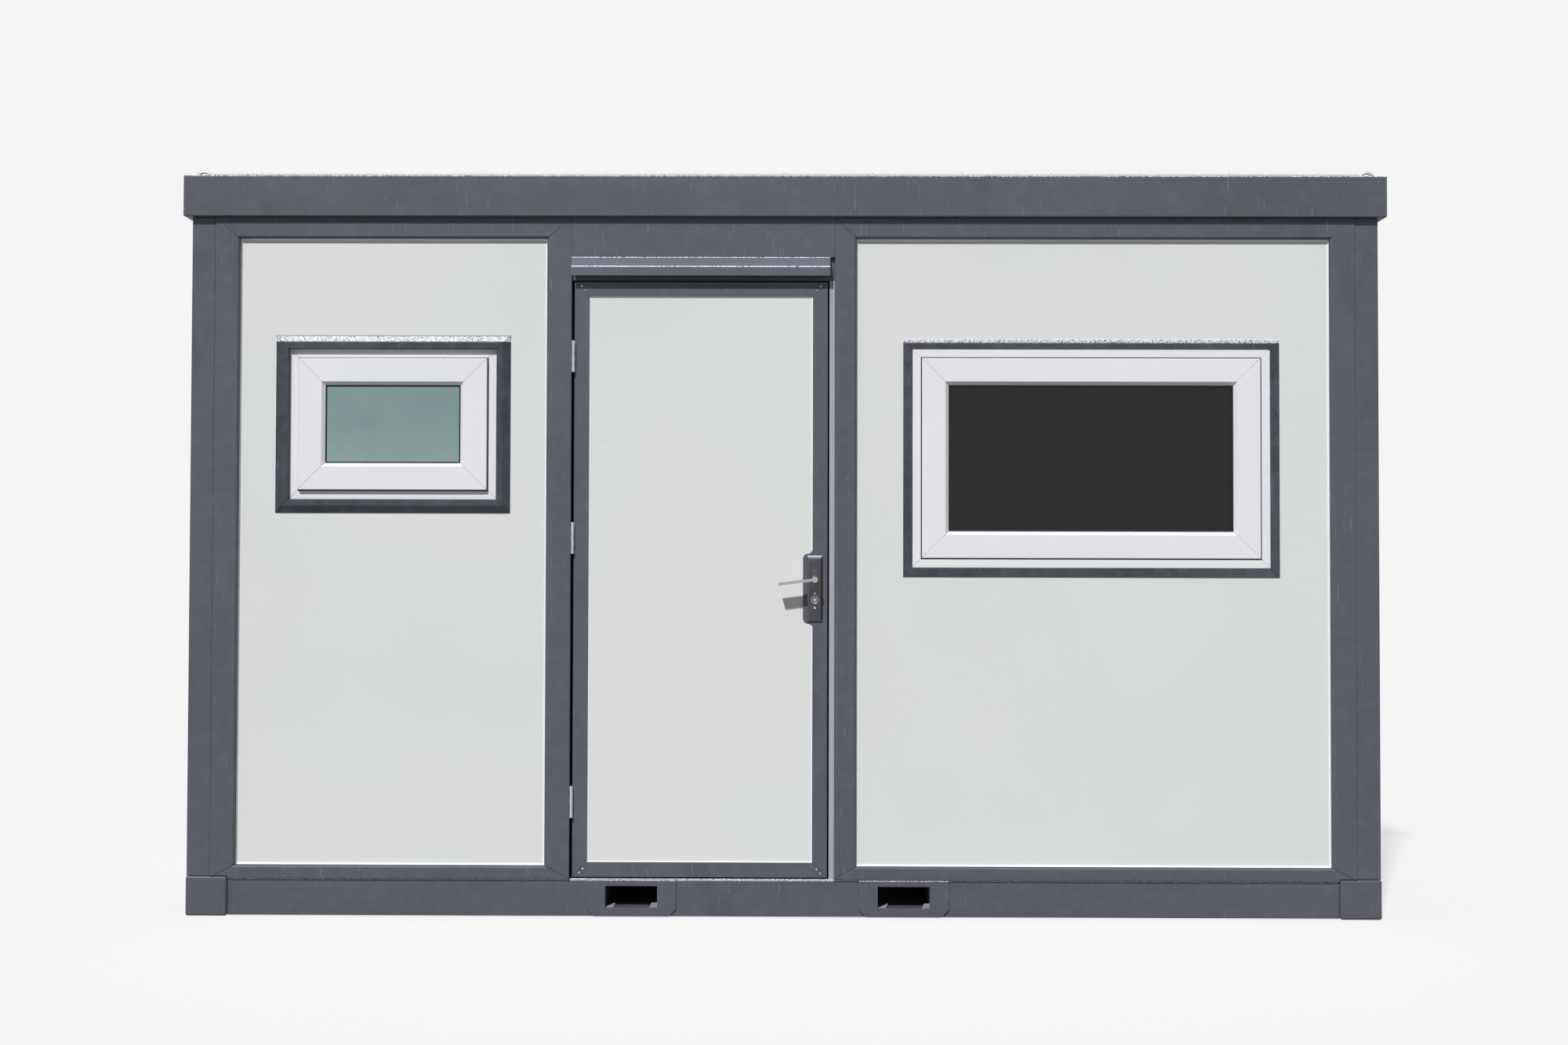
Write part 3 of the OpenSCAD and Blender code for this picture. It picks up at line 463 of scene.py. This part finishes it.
# %% Roof and floor finishes
roof = Finish("roof_sheet", "d4d6da", 0.4)
roof.tint(roof.fit(roof.noise(5, 4), 0.42, 0.7, 0, 0.6), "bfc2c7")
roof.tint(roof.fit(roof.noise(170, 2), 0.6, 0.66, 0, 0.7), "f4f5f7")
roof.bump(roof.noise(2.5, 2), 0.002, 0.3)
ROOF = roof.material

deck = Finish("floor_board", "6d5a48", 0.5, specular=0.35)
deck.tint(deck.fit(deck.noise(9, 5, (0.25, 6, 1)), 0.42, 0.68, 0, 0.8), "574636")
deck.tint(deck.fit(deck.noise(30, 4, (0.2, 5, 1), 4.0), 0.5, 0.8, 0, 0.5), "857059")
deck.bump(deck.noise(40, 3, (0.2, 5, 1)), 0.0003, 0.4)
DECK = deck.material
print("roof and floor:", ROOF.name, DECK.name)

# %% [markdown]
# ## Which finish goes where
# Each CAD part already says what it is made of, so its finish is looked up by that word. A few
# parts need their own, such as the hood with its fold line of chipped paint and painted glint.

# %% Finishes for the CAD parts
FINISHES = {"dark_frame_paint": FRAME, "pale_steel": STRIP, "white_board": BOARD,
            "white_upvc": PLASTIC, "frosted_glass": FROSTED, "clear_glass": CLEAR,
            "lock_metal": LOCK_METAL, "bright_metal": BRIGHT_METAL, "roof_sheet": ROOF,
            "floor_board": DECK}
SPECIAL = {"door_hood": HOOD, "base_beams": BASE, "fork_pocket_left": BASE,
           "fork_pocket_right": BASE, "door_edge_frame": LEAF_PAINT, "roof_beams": ROOF_BEAM,
           "small_window_trim": TRIM, "large_window_trim": TRIM,
           "lever_outside": LEVER_METAL, "lever_inside": LEVER_METAL,
           "key_cylinder": LOCK_METAL, "lifting_eyes": GALVANISED}
for name, node in nodes.items():
    material_slot = node.material_slots[0]
    material_slot.material = SPECIAL.get(name, FINISHES[material_slot.material.name])
print("dressed", len(nodes), "parts,", len(SPECIAL), "with a finish of their own")

# %% [markdown]
# ## Rounded edges
# Real steel has no razor edges: a small bevel catches a thin line of light that says "folded
# metal". The bevel could be cut into the mesh, but as a modifier it leaves the exact mesh
# underneath alone. Importing splits corners apart, so a weld comes first, and weighted normals
# keep the big faces flat at the end.

# %% Rounded edges for the CAD parts
ROUNDING = {"corner_blocks": 2.5, "base_beams": 2.5, "fork_pocket_left": 1.2,
            "fork_pocket_right": 1.2, "corner_posts": 3, "roof_beams": 3, "lintel": 1,
            "door_hood": 0.5, "front_left_surround": 1.5, "front_right_surround": 1.5,
            "left_wall_surround": 1.5, "right_wall_surround": 1.5, "back_wall_surround": 1.5,
            "door_head": 1, "door_latch_jamb": 1, "door_stops": 1, "door_threshold": 1,
            "door_edge_frame": 1.2, "door_panel": 0.5, "lock_plate_outside": 0.7,
            "lock_plate_inside": 0.7, "small_window_trim": 0.8, "small_window_frame": 1.5,
            "small_window_sash": 1.5, "large_window_trim": 0.8, "large_window_frame": 1.5,
            "large_window_sash": 1.5, "lever_outside": 2.4, "lever_inside": 2.4,
            "roof_sheet": 1.5}                  # millimetres
WELD_DISTANCE = 0.00001
BEVEL_STEPS, SHARP_ANGLE = 2, math.radians(28)

smooth_group = bpy.data.node_groups.new("shade_smooth", "GeometryNodeTree")
for direction in ("INPUT", "OUTPUT"):
    smooth_group.interface.new_socket("Geometry", in_out=direction,
                                      socket_type="NodeSocketGeometry")
group_in = smooth_group.nodes.new("NodeGroupInput")
shade = smooth_group.nodes.new("GeometryNodeSetShadeSmooth")
group_out = smooth_group.nodes.new("NodeGroupOutput")
smooth_group.links.new(group_in.outputs[0], shade.inputs["Geometry"])
smooth_group.links.new(shade.outputs["Geometry"], group_out.inputs[0])


def round_edges(part, millimetres):
    part.modifiers.new("weld", "WELD").merge_threshold = WELD_DISTANCE
    bevel = part.modifiers.new("rounded", "BEVEL")
    bevel.width = millimetres / 1000
    bevel.segments = BEVEL_STEPS
    bevel.limit_method = "ANGLE"
    bevel.angle_limit = SHARP_ANGLE
    part.modifiers.new("smooth", "NODES").node_group = smooth_group
    part.modifiers.new("flat_faces", "WEIGHTED_NORMAL").keep_sharp = False


for name, millimetres in ROUNDING.items():
    round_edges(nodes[name], millimetres)
print("rounded the edges of", len(ROUNDING), "parts")

# %% [markdown]
# ## A small workshop for new pieces
# The details are of three kinds: a profile carried round a rectangle, such as sealant; an
# outline pushed straight through, such as a lip; and a profile turned on a lathe, such as a
# screw. Blender's own primitives would give the shape of a toy, so `Shape` builds these three
# from points, and collects many into one piece.


# %% Shape: sweep, prism and lathe
SAME_POINT = 0.000002                           # points closer than this become one


class Shape:
    """Points and faces of one piece, in metres, in the cabin's own frame."""

    def __init__(self):
        self.points, self.faces = [], []

    def add(self, points, faces, place=Matrix()):
        start = len(self.points)
        self.points += [place @ Vector(p) for p in points]
        self.faces += [tuple(start + i for i in face) for face in faces]

    def sweep(self, rect, profile, place=Matrix()):
        """Carries a profile of (inwards, depth) round a rectangle, mitred at its corners."""
        x0, x1, z0, z1 = rect
        turns = ((x0, z0, 1, 1), (x1, z0, -1, 1), (x1, z1, -1, -1), (x0, z1, 1, -1))
        n = len(profile)
        points = [(x + sx * a, d, z + sz * a) for x, z, sx, sz in turns for a, d in profile]
        faces = [(c * n + i, c * n + (i + 1) % n,
                  (c + 1) % 4 * n + (i + 1) % n, (c + 1) % 4 * n + i)
                 for c in range(4) for i in range(n)]
        self.add(points, faces, place)

    def prism(self, outline, y0, y1, place=Matrix()):
        """Pushes an outline of (x, z) from y0 to y1."""
        n = len(outline)
        points = [(x, y0, z) for x, z in outline] + [(x, y1, z) for x, z in outline]
        faces = [tuple(range(n)), tuple(range(2 * n - 1, n - 1, -1))]
        faces += [(i, n + i, n + (i + 1) % n, (i + 1) % n) for i in range(n)]
        self.add(points, faces, place)

    def lathe(self, profile, steps, place=Matrix()):
        """Turns a profile of (radius, height) about Z; a closed loop makes a ring."""
        n = len(profile)
        points = [(r * math.cos(2 * math.pi * k / steps), r * math.sin(2 * math.pi * k / steps), h)
                  for k in range(steps) for r, h in profile]
        faces = [(k * n + i, (k + 1) % steps * n + i,
                  (k + 1) % steps * n + (i + 1) % n, k * n + (i + 1) % n)
                 for k in range(steps) for i in range(n)]
        self.add(points, faces, place)

    def piece(self, name, finish, body, slot=None, smooth=False):
        """Makes the object and sets it on its body. The slot argument is not used."""
        mesh = bpy.data.meshes.new(name)
        mesh.from_pydata(self.points, [], self.faces)
        work = bmesh.new()
        work.from_mesh(mesh)
        bmesh.ops.remove_doubles(work, verts=work.verts, dist=SAME_POINT)
        bmesh.ops.recalc_face_normals(work, faces=work.faces)
        for face in work.faces:
            face.smooth = smooth
        work.to_mesh(mesh)
        work.free()
        made = bpy.data.objects.new(name, mesh)
        bpy.context.scene.collection.objects.link(made)
        mesh.materials.append(finish)
        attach(made, body)
        print(f"{name}: {len(mesh.polygons)} faces on {body}")
        return made


print("sweep, prism and lathe ready")


# %% Where the front parts are
def rect_of(*names):
    """The rectangle in X and Z that some front parts fill together, and their front's Y."""
    boxes = [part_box(name) for name in names]
    return ((min(b[0].x for b in boxes), max(b[1].x for b in boxes),
             min(b[0].z for b in boxes), max(b[1].z for b in boxes)),
            min(b[0].y for b in boxes))


def face_out(x, y, z, inside=False):
    """A place whose Z points out of the front, or into the room."""
    turn = -math.pi / 2 if inside else math.pi / 2
    return Matrix.Translation((x, y, z)) @ Matrix.Rotation(turn, 4, "X")


print("large window opening:", [round(v, 3) for v in rect_of("large_window_frame")[0]])

# %% [markdown]
# ## Sealant round the boards
# Where a board meets its steel surround, a fitter runs a bead of white sealant. It shows as a
# bright line at the bottom and the right, where the sun reaches it. One quarter-round profile,
# swept round each board opening, is all it is. The side and back walls get the same.


# %% Sealant on the front
BEAD, TUCKED_IN = 0.006, 0.0004                 # metres


def quarter_bead(size, depth, inside=1, steps=5):
    """A hollow-faced fillet: size wide on the board and size up the surround."""
    curve = [(size - size * math.sin(t), depth - inside * size * (1 - math.cos(t)))
             for t in (math.pi / 2 * i / steps for i in range(steps + 1))]
    return [(-TUCKED_IN, depth + inside * TUCKED_IN)] + curve


front = Shape()
for group in (("front_left_board",), ("front_middle_board", "front_right_board")):
    board_rect, face_y = rect_of(*group)
    front.sweep(board_rect, quarter_bead(BEAD, face_y))
front.piece("front_board_sealant", SEALANT, "cabin", "white_board")

# %% Sealant on the sides and the back
WALLS = {"left": ("left_wall_boards", Matrix.Rotation(-math.pi / 2, 4, "Z"), "x", 1),
         "right": ("right_wall_boards", Matrix.Rotation(math.pi / 2, 4, "Z"), "x", -1),
         "back": ("back_wall_boards", Matrix.Rotation(math.pi, 4, "Z"), "y", -1)}
for wall, (node_name, place, axis, side) in WALLS.items():
    low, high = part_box(node_name)
    half = high.y if axis == "x" else high.x
    depth = getattr(low if side > 0 else high, axis) * side
    around = Shape()
    around.sweep((-half, half, low.z, high.z), quarter_bead(BEAD, depth), place)
    around.piece(f"{wall}_board_sealant", SEALANT, "cabin", "white_board")

# %% Sealant on the door
LEAF_BEAD = 0.0035
panel_rect, panel_y = rect_of("door_panel")
panel_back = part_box("door_panel")[1].y
leaf_bead = Shape()
leaf_bead.sweep(panel_rect, quarter_bead(LEAF_BEAD, panel_y))
leaf_bead.sweep(panel_rect, quarter_bead(LEAF_BEAD, panel_back, -1))
leaf_bead.piece("door_panel_sealant", SEALANT, "door", "white_board")

# %% [markdown]
# ## The joint between two front boards
# The two boards right of the door meet above and below the large window. A strip of sealant
# fills the joint, sunk a little so that the line of the joint still shows.

# %% Board joint
SEAM_SUNK = 0.0006
seam_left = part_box("front_middle_board")[1].x
seam_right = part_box("front_right_board")[0].x
board_low, board_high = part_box("front_middle_board")
opening_low, opening_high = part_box("large_window_frame")
seam = Shape()
for low_z, high_z in ((board_low.z, opening_low.z), (opening_high.z, board_high.z)):
    seam.prism([(seam_left, low_z), (seam_right, low_z), (seam_right, high_z),
                (seam_left, high_z)], board_low.y + SEAM_SUNK, board_high.y - SEAM_SUNK)
seam.piece("board_seam_filler", SEALANT, "cabin", "white_board")

# %% [markdown]
# ## Closed corners
# Window bars and surrounds are cut at forty-five degrees and welded, and only a hairline is left
# of the joint. The CAD bars stand a little apart, so a thin slip fills each joint, sunk a
# fraction of a millimetre so that the hairline stays.


# %% Corner welds of the windows
SLIP_WIDTH, HAIRLINE = 0.0009, 0.0006
SASH_BEVEL, SASH_EDGE_IN = 0.012, 0.003


def mitre_slips(shape, outer, inner, y0, y1):
    """A thin upright slip along each corner's diagonal, between two rectangles."""
    for i, j in ((0, 2), (1, 2), (1, 3), (0, 3)):
        a, b = (outer[i], outer[j]), (inner[i], inner[j])
        up = SLIP_WIDTH if j == 2 else -SLIP_WIDTH
        shape.prism([a, b, (b[0], b[1] + up), (a[0], a[1] + up)], y0, y1)


def grown(rect, by):
    """The rectangle with each side moved out; a number below 0 moves them in."""
    return rect[0] - by, rect[1] + by, rect[2] - by, rect[3] + by


window_slips = Shape()
for window in ("small_window", "large_window"):
    frame_rect, frame_y = rect_of(f"{window}_frame")
    sash_rect, sash_y = rect_of(f"{window}_sash")
    glass_rect, _ = rect_of(f"{window}_glass")
    flat_rect = grown(glass_rect, SASH_BEVEL)
    frame_back, sash_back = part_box(f"{window}_frame")[1].y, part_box(f"{window}_sash")[1].y
    mitre_slips(window_slips, frame_rect, sash_rect, frame_y + HAIRLINE, frame_back - HAIRLINE)
    mitre_slips(window_slips, grown(sash_rect, -SASH_EDGE_IN), flat_rect,
                sash_y + HAIRLINE, sash_back - HAIRLINE)
    mitre_slips(window_slips, flat_rect, glass_rect, sash_y + SASH_BEVEL + HAIRLINE,
                sash_back - HAIRLINE)
window_slips.piece("window_corner_welds", PLASTIC, "cabin", "white_upvc")

# %% Corner welds of the surrounds
SURROUND_CHAMFER, SURROUND_WELD_DEPTH = 0.008, 0.06
steel_slips = Shape()
for surround, *boards in (("front_left_surround", "front_left_board"),
                          ("front_right_surround", "front_middle_board", "front_right_board")):
    outer_rect, outer_y = rect_of(surround)
    inner_rect, _ = rect_of(*boards)
    mitre_slips(steel_slips, outer_rect, grown(inner_rect, SURROUND_CHAMFER),
                outer_y + HAIRLINE, outer_y + SURROUND_WELD_DEPTH)
steel_slips.piece("surround_corner_welds", FRAME, "cabin", "dark_frame_paint")

# %% [markdown]
# ## Rubber round the glass and the sashes
# A pane sits between black rubber lips, and a sash closes onto a rubber strip that shows as a
# thin black line; that strip also serves as painted shade, deepening the shadow line below and
# right of the sash. Both are a small profile carried round a rectangle. Painting the line on would
# be quicker, but it would vanish in the model's own mesh.

# %% Window rubbers
LIP, LIP_HEIGHT, PRESSED_IN = 0.0045, 0.003, 0.0003
gaskets, seals_and_shade = Shape(), Shape()
for window in ("small_window", "large_window"):
    glass_rect, glass_front = rect_of(f"{window}_glass")
    glass_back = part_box(f"{window}_glass")[1].y
    for y, outwards in ((glass_front, -1), (glass_back, 1)):
        gaskets.sweep(glass_rect, [(-PRESSED_IN, y - outwards * PRESSED_IN),
                                   (LIP, y - outwards * PRESSED_IN),
                                   (LIP, y + outwards * 0.001),
                                   (LIP * 0.7, y + outwards * 0.0024),
                                   (LIP * 0.3, y + outwards * LIP_HEIGHT),
                                   (-PRESSED_IN, y + outwards * LIP_HEIGHT)])
    sash_rect, _ = rect_of(f"{window}_sash")
    frame_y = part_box(f"{window}_frame")[0].y
    # The black strip round each sash is partly a real seal and partly painted shade for its shadow
    # line.
    seals_and_shade.sweep(sash_rect, [(0.0004, frame_y + 0.0004), (0.0004, frame_y - 0.0026),
                              (-0.002, frame_y - 0.0022), (-0.0038, frame_y + 0.0004)])
gaskets.piece("glazing_gaskets", RUBBER, "cabin")
seals_and_shade.piece("sash_seals_and_shade_lines", RUBBER, "cabin")

# %% [markdown]
# ## The door's seal
# The door closes against a rounded rubber seal on its stops. The seal ends short of the leaf,
# so the door swings without dragging it, and the gap is printed.

# %% Door seal
SEAL_OUT, SEAL_WIDTH = 0.005, 0.008
SEAL_IN_HINGE, SEAL_IN_LOCK, SEAL_IN_HEAD, SEAL_ABOVE_SILL = 0.011, 0.003, 0.011, 0.006
leaf_low, leaf_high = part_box("door_edge_frame")
stops_low, stops_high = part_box("door_stops")
sill_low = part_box("door_threshold")[0]
seal_rect = (stops_low.x + SEAL_IN_HINGE, stops_high.x - SEAL_IN_LOCK,
             sill_low.z + SEAL_ABOVE_SILL, stops_high.z - SEAL_IN_HEAD)
ARCH = ((0, 0.6), (0.25, 0.9), (0.5, 1), (0.75, 0.9), (1, 0.6))     # shares of width and height
seal = Shape()
seal.sweep(seal_rect, [(0, stops_low.y + PRESSED_IN)]
           + [(a * SEAL_WIDTH, stops_low.y - h * SEAL_OUT) for a, h in ARCH]
           + [(SEAL_WIDTH, stops_low.y + PRESSED_IN)])
seal.piece("door_seal", RUBBER, "cabin")
print("seal to leaf:", round((stops_low.y - SEAL_OUT - leaf_high.y) * 1000, 2), "mm")

# %% [markdown]
# ## Screws
# Two bright screws hold each corner of the door's edge frame, and two more hold each lock
# plate. A screw head is a low dome with a dished middle, turned on the lathe, and a black cross
# set into the dish as painted shade for the cross recess. At this size that is enough for it to
# read as a screw.


# %% Screw heads
def screw(heads, crosses, radius, place):
    dome = [(0, 0.35), (0.42, 0.35), (0.5, 0.62), (0.72, 0.5), (0.92, 0.26), (1, 0), (1, -0.05),
            (0, -0.05)]
    heads.lathe([(r * radius, h * radius) for r, h in dome], 20, place)
    arm, tip = 0.11 * radius, 0.4 * radius
    outline = [(arm, arm), (arm, tip), (-arm, tip), (-arm, arm), (-tip, arm), (-tip, -arm),
               (-arm, -arm), (-arm, -tip), (arm, -tip), (arm, -arm), (tip, -arm), (tip, arm)]
    flat = place @ Matrix.Rotation(math.pi / 4, 4, "Z") @ Matrix.Rotation(math.pi / 2, 4, "X")
    # The black cross is painted shade standing for the recess in the head.
    crosses.prism(outline, -0.37 * radius, -0.3 * radius, flat)


print("screw helper ready")

# %% Door and lock screws
DOOR_SCREW, PLATE_SCREW = 0.003, 0.0036         # radii
IN_FROM_EDGE = ((0.035, 0.028), (0.023, 0.014))     # inwards along X and along Z
ABOVE_KEY, BELOW_KEY = 0.021, -0.027
door_screws, door_cross_shade = Shape(), Shape()
for side_x, sign_x in ((leaf_low.x, 1), (leaf_high.x, -1)):
    for side_z, sign_z in ((leaf_low.z, 1), (leaf_high.z, -1)):
        for in_x, in_z in IN_FROM_EDGE:
            x, z = side_x + sign_x * in_x, side_z + sign_z * in_z
            screw(door_screws, door_cross_shade, DOOR_SCREW, face_out(x, leaf_low.y, z))
            screw(door_screws, door_cross_shade, DOOR_SCREW,
                  face_out(x, leaf_high.y, z, inside=True))

inner_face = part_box("lock_plate_inside")[1].y
key_low, key_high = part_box("key_cylinder")
lock_x = (plate_low.x + plate_high.x) / 2
key_z = (key_low.z + key_high.z) / 2
for dz in (ABOVE_KEY, BELOW_KEY):
    screw(door_screws, door_cross_shade, PLATE_SCREW, face_out(lock_x, plate_low.y, key_z + dz))
    screw(door_screws, door_cross_shade, PLATE_SCREW,
          face_out(lock_x, inner_face, key_z + dz, inside=True))
door_screws.piece("door_screws", BRIGHT_METAL, "door", "bright_metal", smooth=True)
door_cross_shade.piece("door_screw_cross_shade", RUBBER, "door")

# %% [markdown]
# ## The lock's face
# The key cylinder shows a bright rim, a turning plug and a slot; the slot is a black piece,
# painted shade for the keyway. The lever's neck comes through a thin turned collar. The CAD has
# the solid cylinder, so only what sits on its face is added.

# %% Keyhole
RIM_OUTSIDE, RIM_INSIDE = 0.0125, 0.009         # radii
rim, plugs, slot_shades = Shape(), Shape(), Shape()
for y, inside, radius in ((key_low.y, False, RIM_OUTSIDE), (key_high.y, True, RIM_INSIDE)):
    place = face_out(lock_x, y, key_z, inside)
    rim.lathe([(radius, -0.0002), (radius, 0.0006), (radius - 0.0008, 0.0011),
               (radius - 0.002, 0.0006), (radius - 0.0022, -0.0002)], 40, place)
    plugs.lathe([(0, 0.001), (0.0058, 0.001), (0.0064, 0.0004), (0.0064, -0.0002),
                 (0, -0.0002)], 32, place)
    # The black slot is painted shade standing for the keyway's depth.
    slot_shades.prism([(-0.0009, -0.0044), (0.0009, -0.0044), (0.0009, 0.001), (0.0019, 0.0022),
                 (0.0012, 0.0042), (-0.0012, 0.0042), (-0.0019, 0.0022), (-0.0009, 0.001)],
                -0.00115, -0.0008, place @ Matrix.Rotation(math.pi / 2, 4, "X"))
rim.piece("key_rim", BRIGHT_METAL, "door", "bright_metal", smooth=True)
plugs.piece("key_plug", LEVER_METAL, "door", "bright_metal", smooth=True)
slot_shades.piece("key_slot_shade", RUBBER, "door")

# %% Lever collars
NECK_Z = 1.1315                                 # height of the lever's neck
collars = Shape()
for y, inside in ((plate_low.y, False), (inner_face, True)):
    collars.lathe([(0.0094, -0.0002), (0.0094, 0.0022), (0.0115, 0.0026), (0.0138, 0.0016),
                   (0.0146, -0.0002)], 40, face_out(lock_x, y, NECK_Z, inside))
collars.piece("lever_collars", LOCK_METAL, "door", "lock_metal", smooth=True)

# %% [markdown]
# ## Fork pocket lips
# Just inside each pocket's mouth, a small folded ear shows in either lower corner, where the
# tube was cut and bent to meet the plate. Each is a thin outline pushed a few millimetres deep.

# %% Fork pocket lips
lip_steel = Finish("bare_lip_steel", "8e8e8a", 0.5, specular=0.4)
lip_steel.tint(lip_steel.fit(lip_steel.noise(120, 3), 0.45, 0.7, 0, 0.6), "747571")
lip_steel.bump(lip_steel.noise(400, 2), 0.0001, 0.4)
POCKET_HALF, POCKET_FLOOR = 0.087, 0.032
LIP_DEPTH, LIP_SET_BACK = 0.003, 0.008
lips = Shape()
for pocket in ("fork_pocket_left", "fork_pocket_right"):
    low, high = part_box(pocket)
    mid = (low.x + high.x) / 2
    left, right = mid - POCKET_HALF, mid + POCKET_HALF
    for y in (low.y + LIP_SET_BACK, high.y - LIP_SET_BACK - LIP_DEPTH):
        lips.prism([(left, POCKET_FLOOR), (left + 0.026, POCKET_FLOOR),
                    (left + 0.034, POCKET_FLOOR + 0.016), (left, POCKET_FLOOR + 0.001)],
                   y, y + LIP_DEPTH)
        lips.prism([(right - 0.026, POCKET_FLOOR), (right, POCKET_FLOOR),
                    (right, POCKET_FLOOR + 0.016), (right - 0.019, POCKET_FLOOR + 0.016)],
                   y, y + LIP_DEPTH)
lips.piece("fork_pocket_lips", lip_steel.material, "cabin", "dark_frame_paint")

# %% [markdown]
# ## Laps of the roof sheet
# The roof sheet is laid in widths that lap over each other. A ray dropped onto the CAD sheet
# gives the height at any place, so each lap follows its curve without copying any sums.

# %% Roof laps
JOINTS = (-1.0, 0.0, 1.0)                       # where sheets and ceiling boards meet, along X
LAP_HALF, LAP_SLOPE, LAP_RISE, LAP_SUNK, LAP_STEPS = 0.022, 0.004, 0.0016, 0.0004, 24
LAP_END_IN = 0.001
ABOVE_ROOF = 3.0
sheet = nodes["roof_sheet"]
sheet_low, sheet_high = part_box("roof_sheet")


def roof_height(x, y):
    hit, point, _, _ = sheet.ray_cast(Vector((x, y, ABOVE_ROOF)), Vector((0, 0, -1)))
    return point.z if hit else sheet_low.z


laps = Shape()
section = [(-LAP_HALF, 0), (-LAP_HALF + LAP_SLOPE, LAP_RISE), (LAP_HALF - LAP_SLOPE, LAP_RISE),
           (LAP_HALF, 0)]
count = len(section)
lap_length = sheet_high.y - sheet_low.y - 2 * LAP_END_IN
for x in JOINTS:
    points = []
    for k in range(LAP_STEPS + 1):
        y = sheet_low.y + LAP_END_IN + lap_length * k / LAP_STEPS
        points += [(x + dx, y, roof_height(x, y) + dz - LAP_SUNK) for dx, dz in section]
    faces = [(k * count + i, (k + 1) * count + i, (k + 1) * count + (i + 1) % count,
              k * count + (i + 1) % count) for k in range(LAP_STEPS) for i in range(count)]
    faces += [tuple(range(count)), tuple(range(len(points) - count, len(points)))]
    laps.add(points, faces)
laps.piece("roof_laps", ROOF, "cabin", "roof_sheet")

# %% [markdown]
# ## Roof screws
# Screws with wide washers hold the sheet's edge. Even from a crane they are dots, so a turned
# profile with few steps is enough.

# %% Roof screws
SCREW_IN = 0.018                                # in from the sheet's edge
SCREW_SUNK = 0.0002
edge_x, edge_y = sheet_high.x - SCREW_IN, sheet_high.y - SCREW_IN
places = [(x / 10, side * edge_y) for x in range(-18, 19, 3) for side in (-1, 1)]
places += [(side * edge_x, y / 10) for y in range(-10, 11, 4) for side in (-1, 1)]
roof_screws = Shape()
for x, y in places:
    roof_screws.lathe([(0, 0.0052), (0.003, 0.0052), (0.0042, 0.0036), (0.0046, 0.0016),
                       (0.008, 0.0012), (0.0084, -0.0003), (0, -0.0003)], 14,
                      Matrix.Translation((x, y, roof_height(x, y) - SCREW_SUNK)))
roof_screws.piece("roof_screws", BRIGHT_METAL, "cabin", "bright_metal")

# %% [markdown]
# ## Weld beads of the lifting eyes
# Each eye is a bent bar, welded to the roof beam at both feet. A small ring of weld closes the
# corner between bar and beam, where two plain solids would only touch.

# %% Eye weld beads
EYE_BAR = 0.0055                                # radius of the eye's bar
eye_low, eye_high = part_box("lifting_eyes")
ring_radius = eye_high.z - eye_low.z - EYE_BAR
beads = Shape()
for side_x in (-1, 1):
    for side_y in (-1, 1):
        for foot in (0, 2 * ring_radius):
            beads.lathe([(EYE_BAR - 0.001, -0.0003), (EYE_BAR + 0.0035, -0.0003),
                         (EYE_BAR + 0.0032, 0.0012), (EYE_BAR + 0.0012, 0.003),
                         (EYE_BAR - 0.001, 0.0036)], 18,
                        Matrix.Translation((side_x * (eye_high.x - EYE_BAR - foot),
                                            side_y * (eye_high.y - EYE_BAR), eye_low.z)))
beads.piece("eye_weld_beads", GALVANISED, "cabin", "bright_metal", smooth=True)

# %% [markdown]
# ## Strips under the ceiling
# Flat white strips cover the joints between the ceiling's boards. They are seen only through
# the open door, so a thin outline with sloped sides, pushed across the room, does for them.

# %% Ceiling strips
STRIP_HALF, STRIP_FACE_HALF, STRIP_DROP, STRIP_SUNK = 0.02, 0.017, 0.003, 0.0003
ROOM_CLEARANCE = 0.002
ceiling_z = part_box("ceiling_panel")[0].z
half_y = abs(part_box("back_wall_boards")[0].y) - ROOM_CLEARANCE
covers = Shape()
for x in JOINTS:
    covers.prism([(x - STRIP_HALF, ceiling_z + STRIP_SUNK),
                  (x - STRIP_FACE_HALF, ceiling_z - STRIP_DROP),
                  (x + STRIP_FACE_HALF, ceiling_z - STRIP_DROP),
                  (x + STRIP_HALF, ceiling_z + STRIP_SUNK)], -half_y, half_y)
covers.piece("ceiling_cover_strips", PLASTIC, "cabin", "white_upvc")
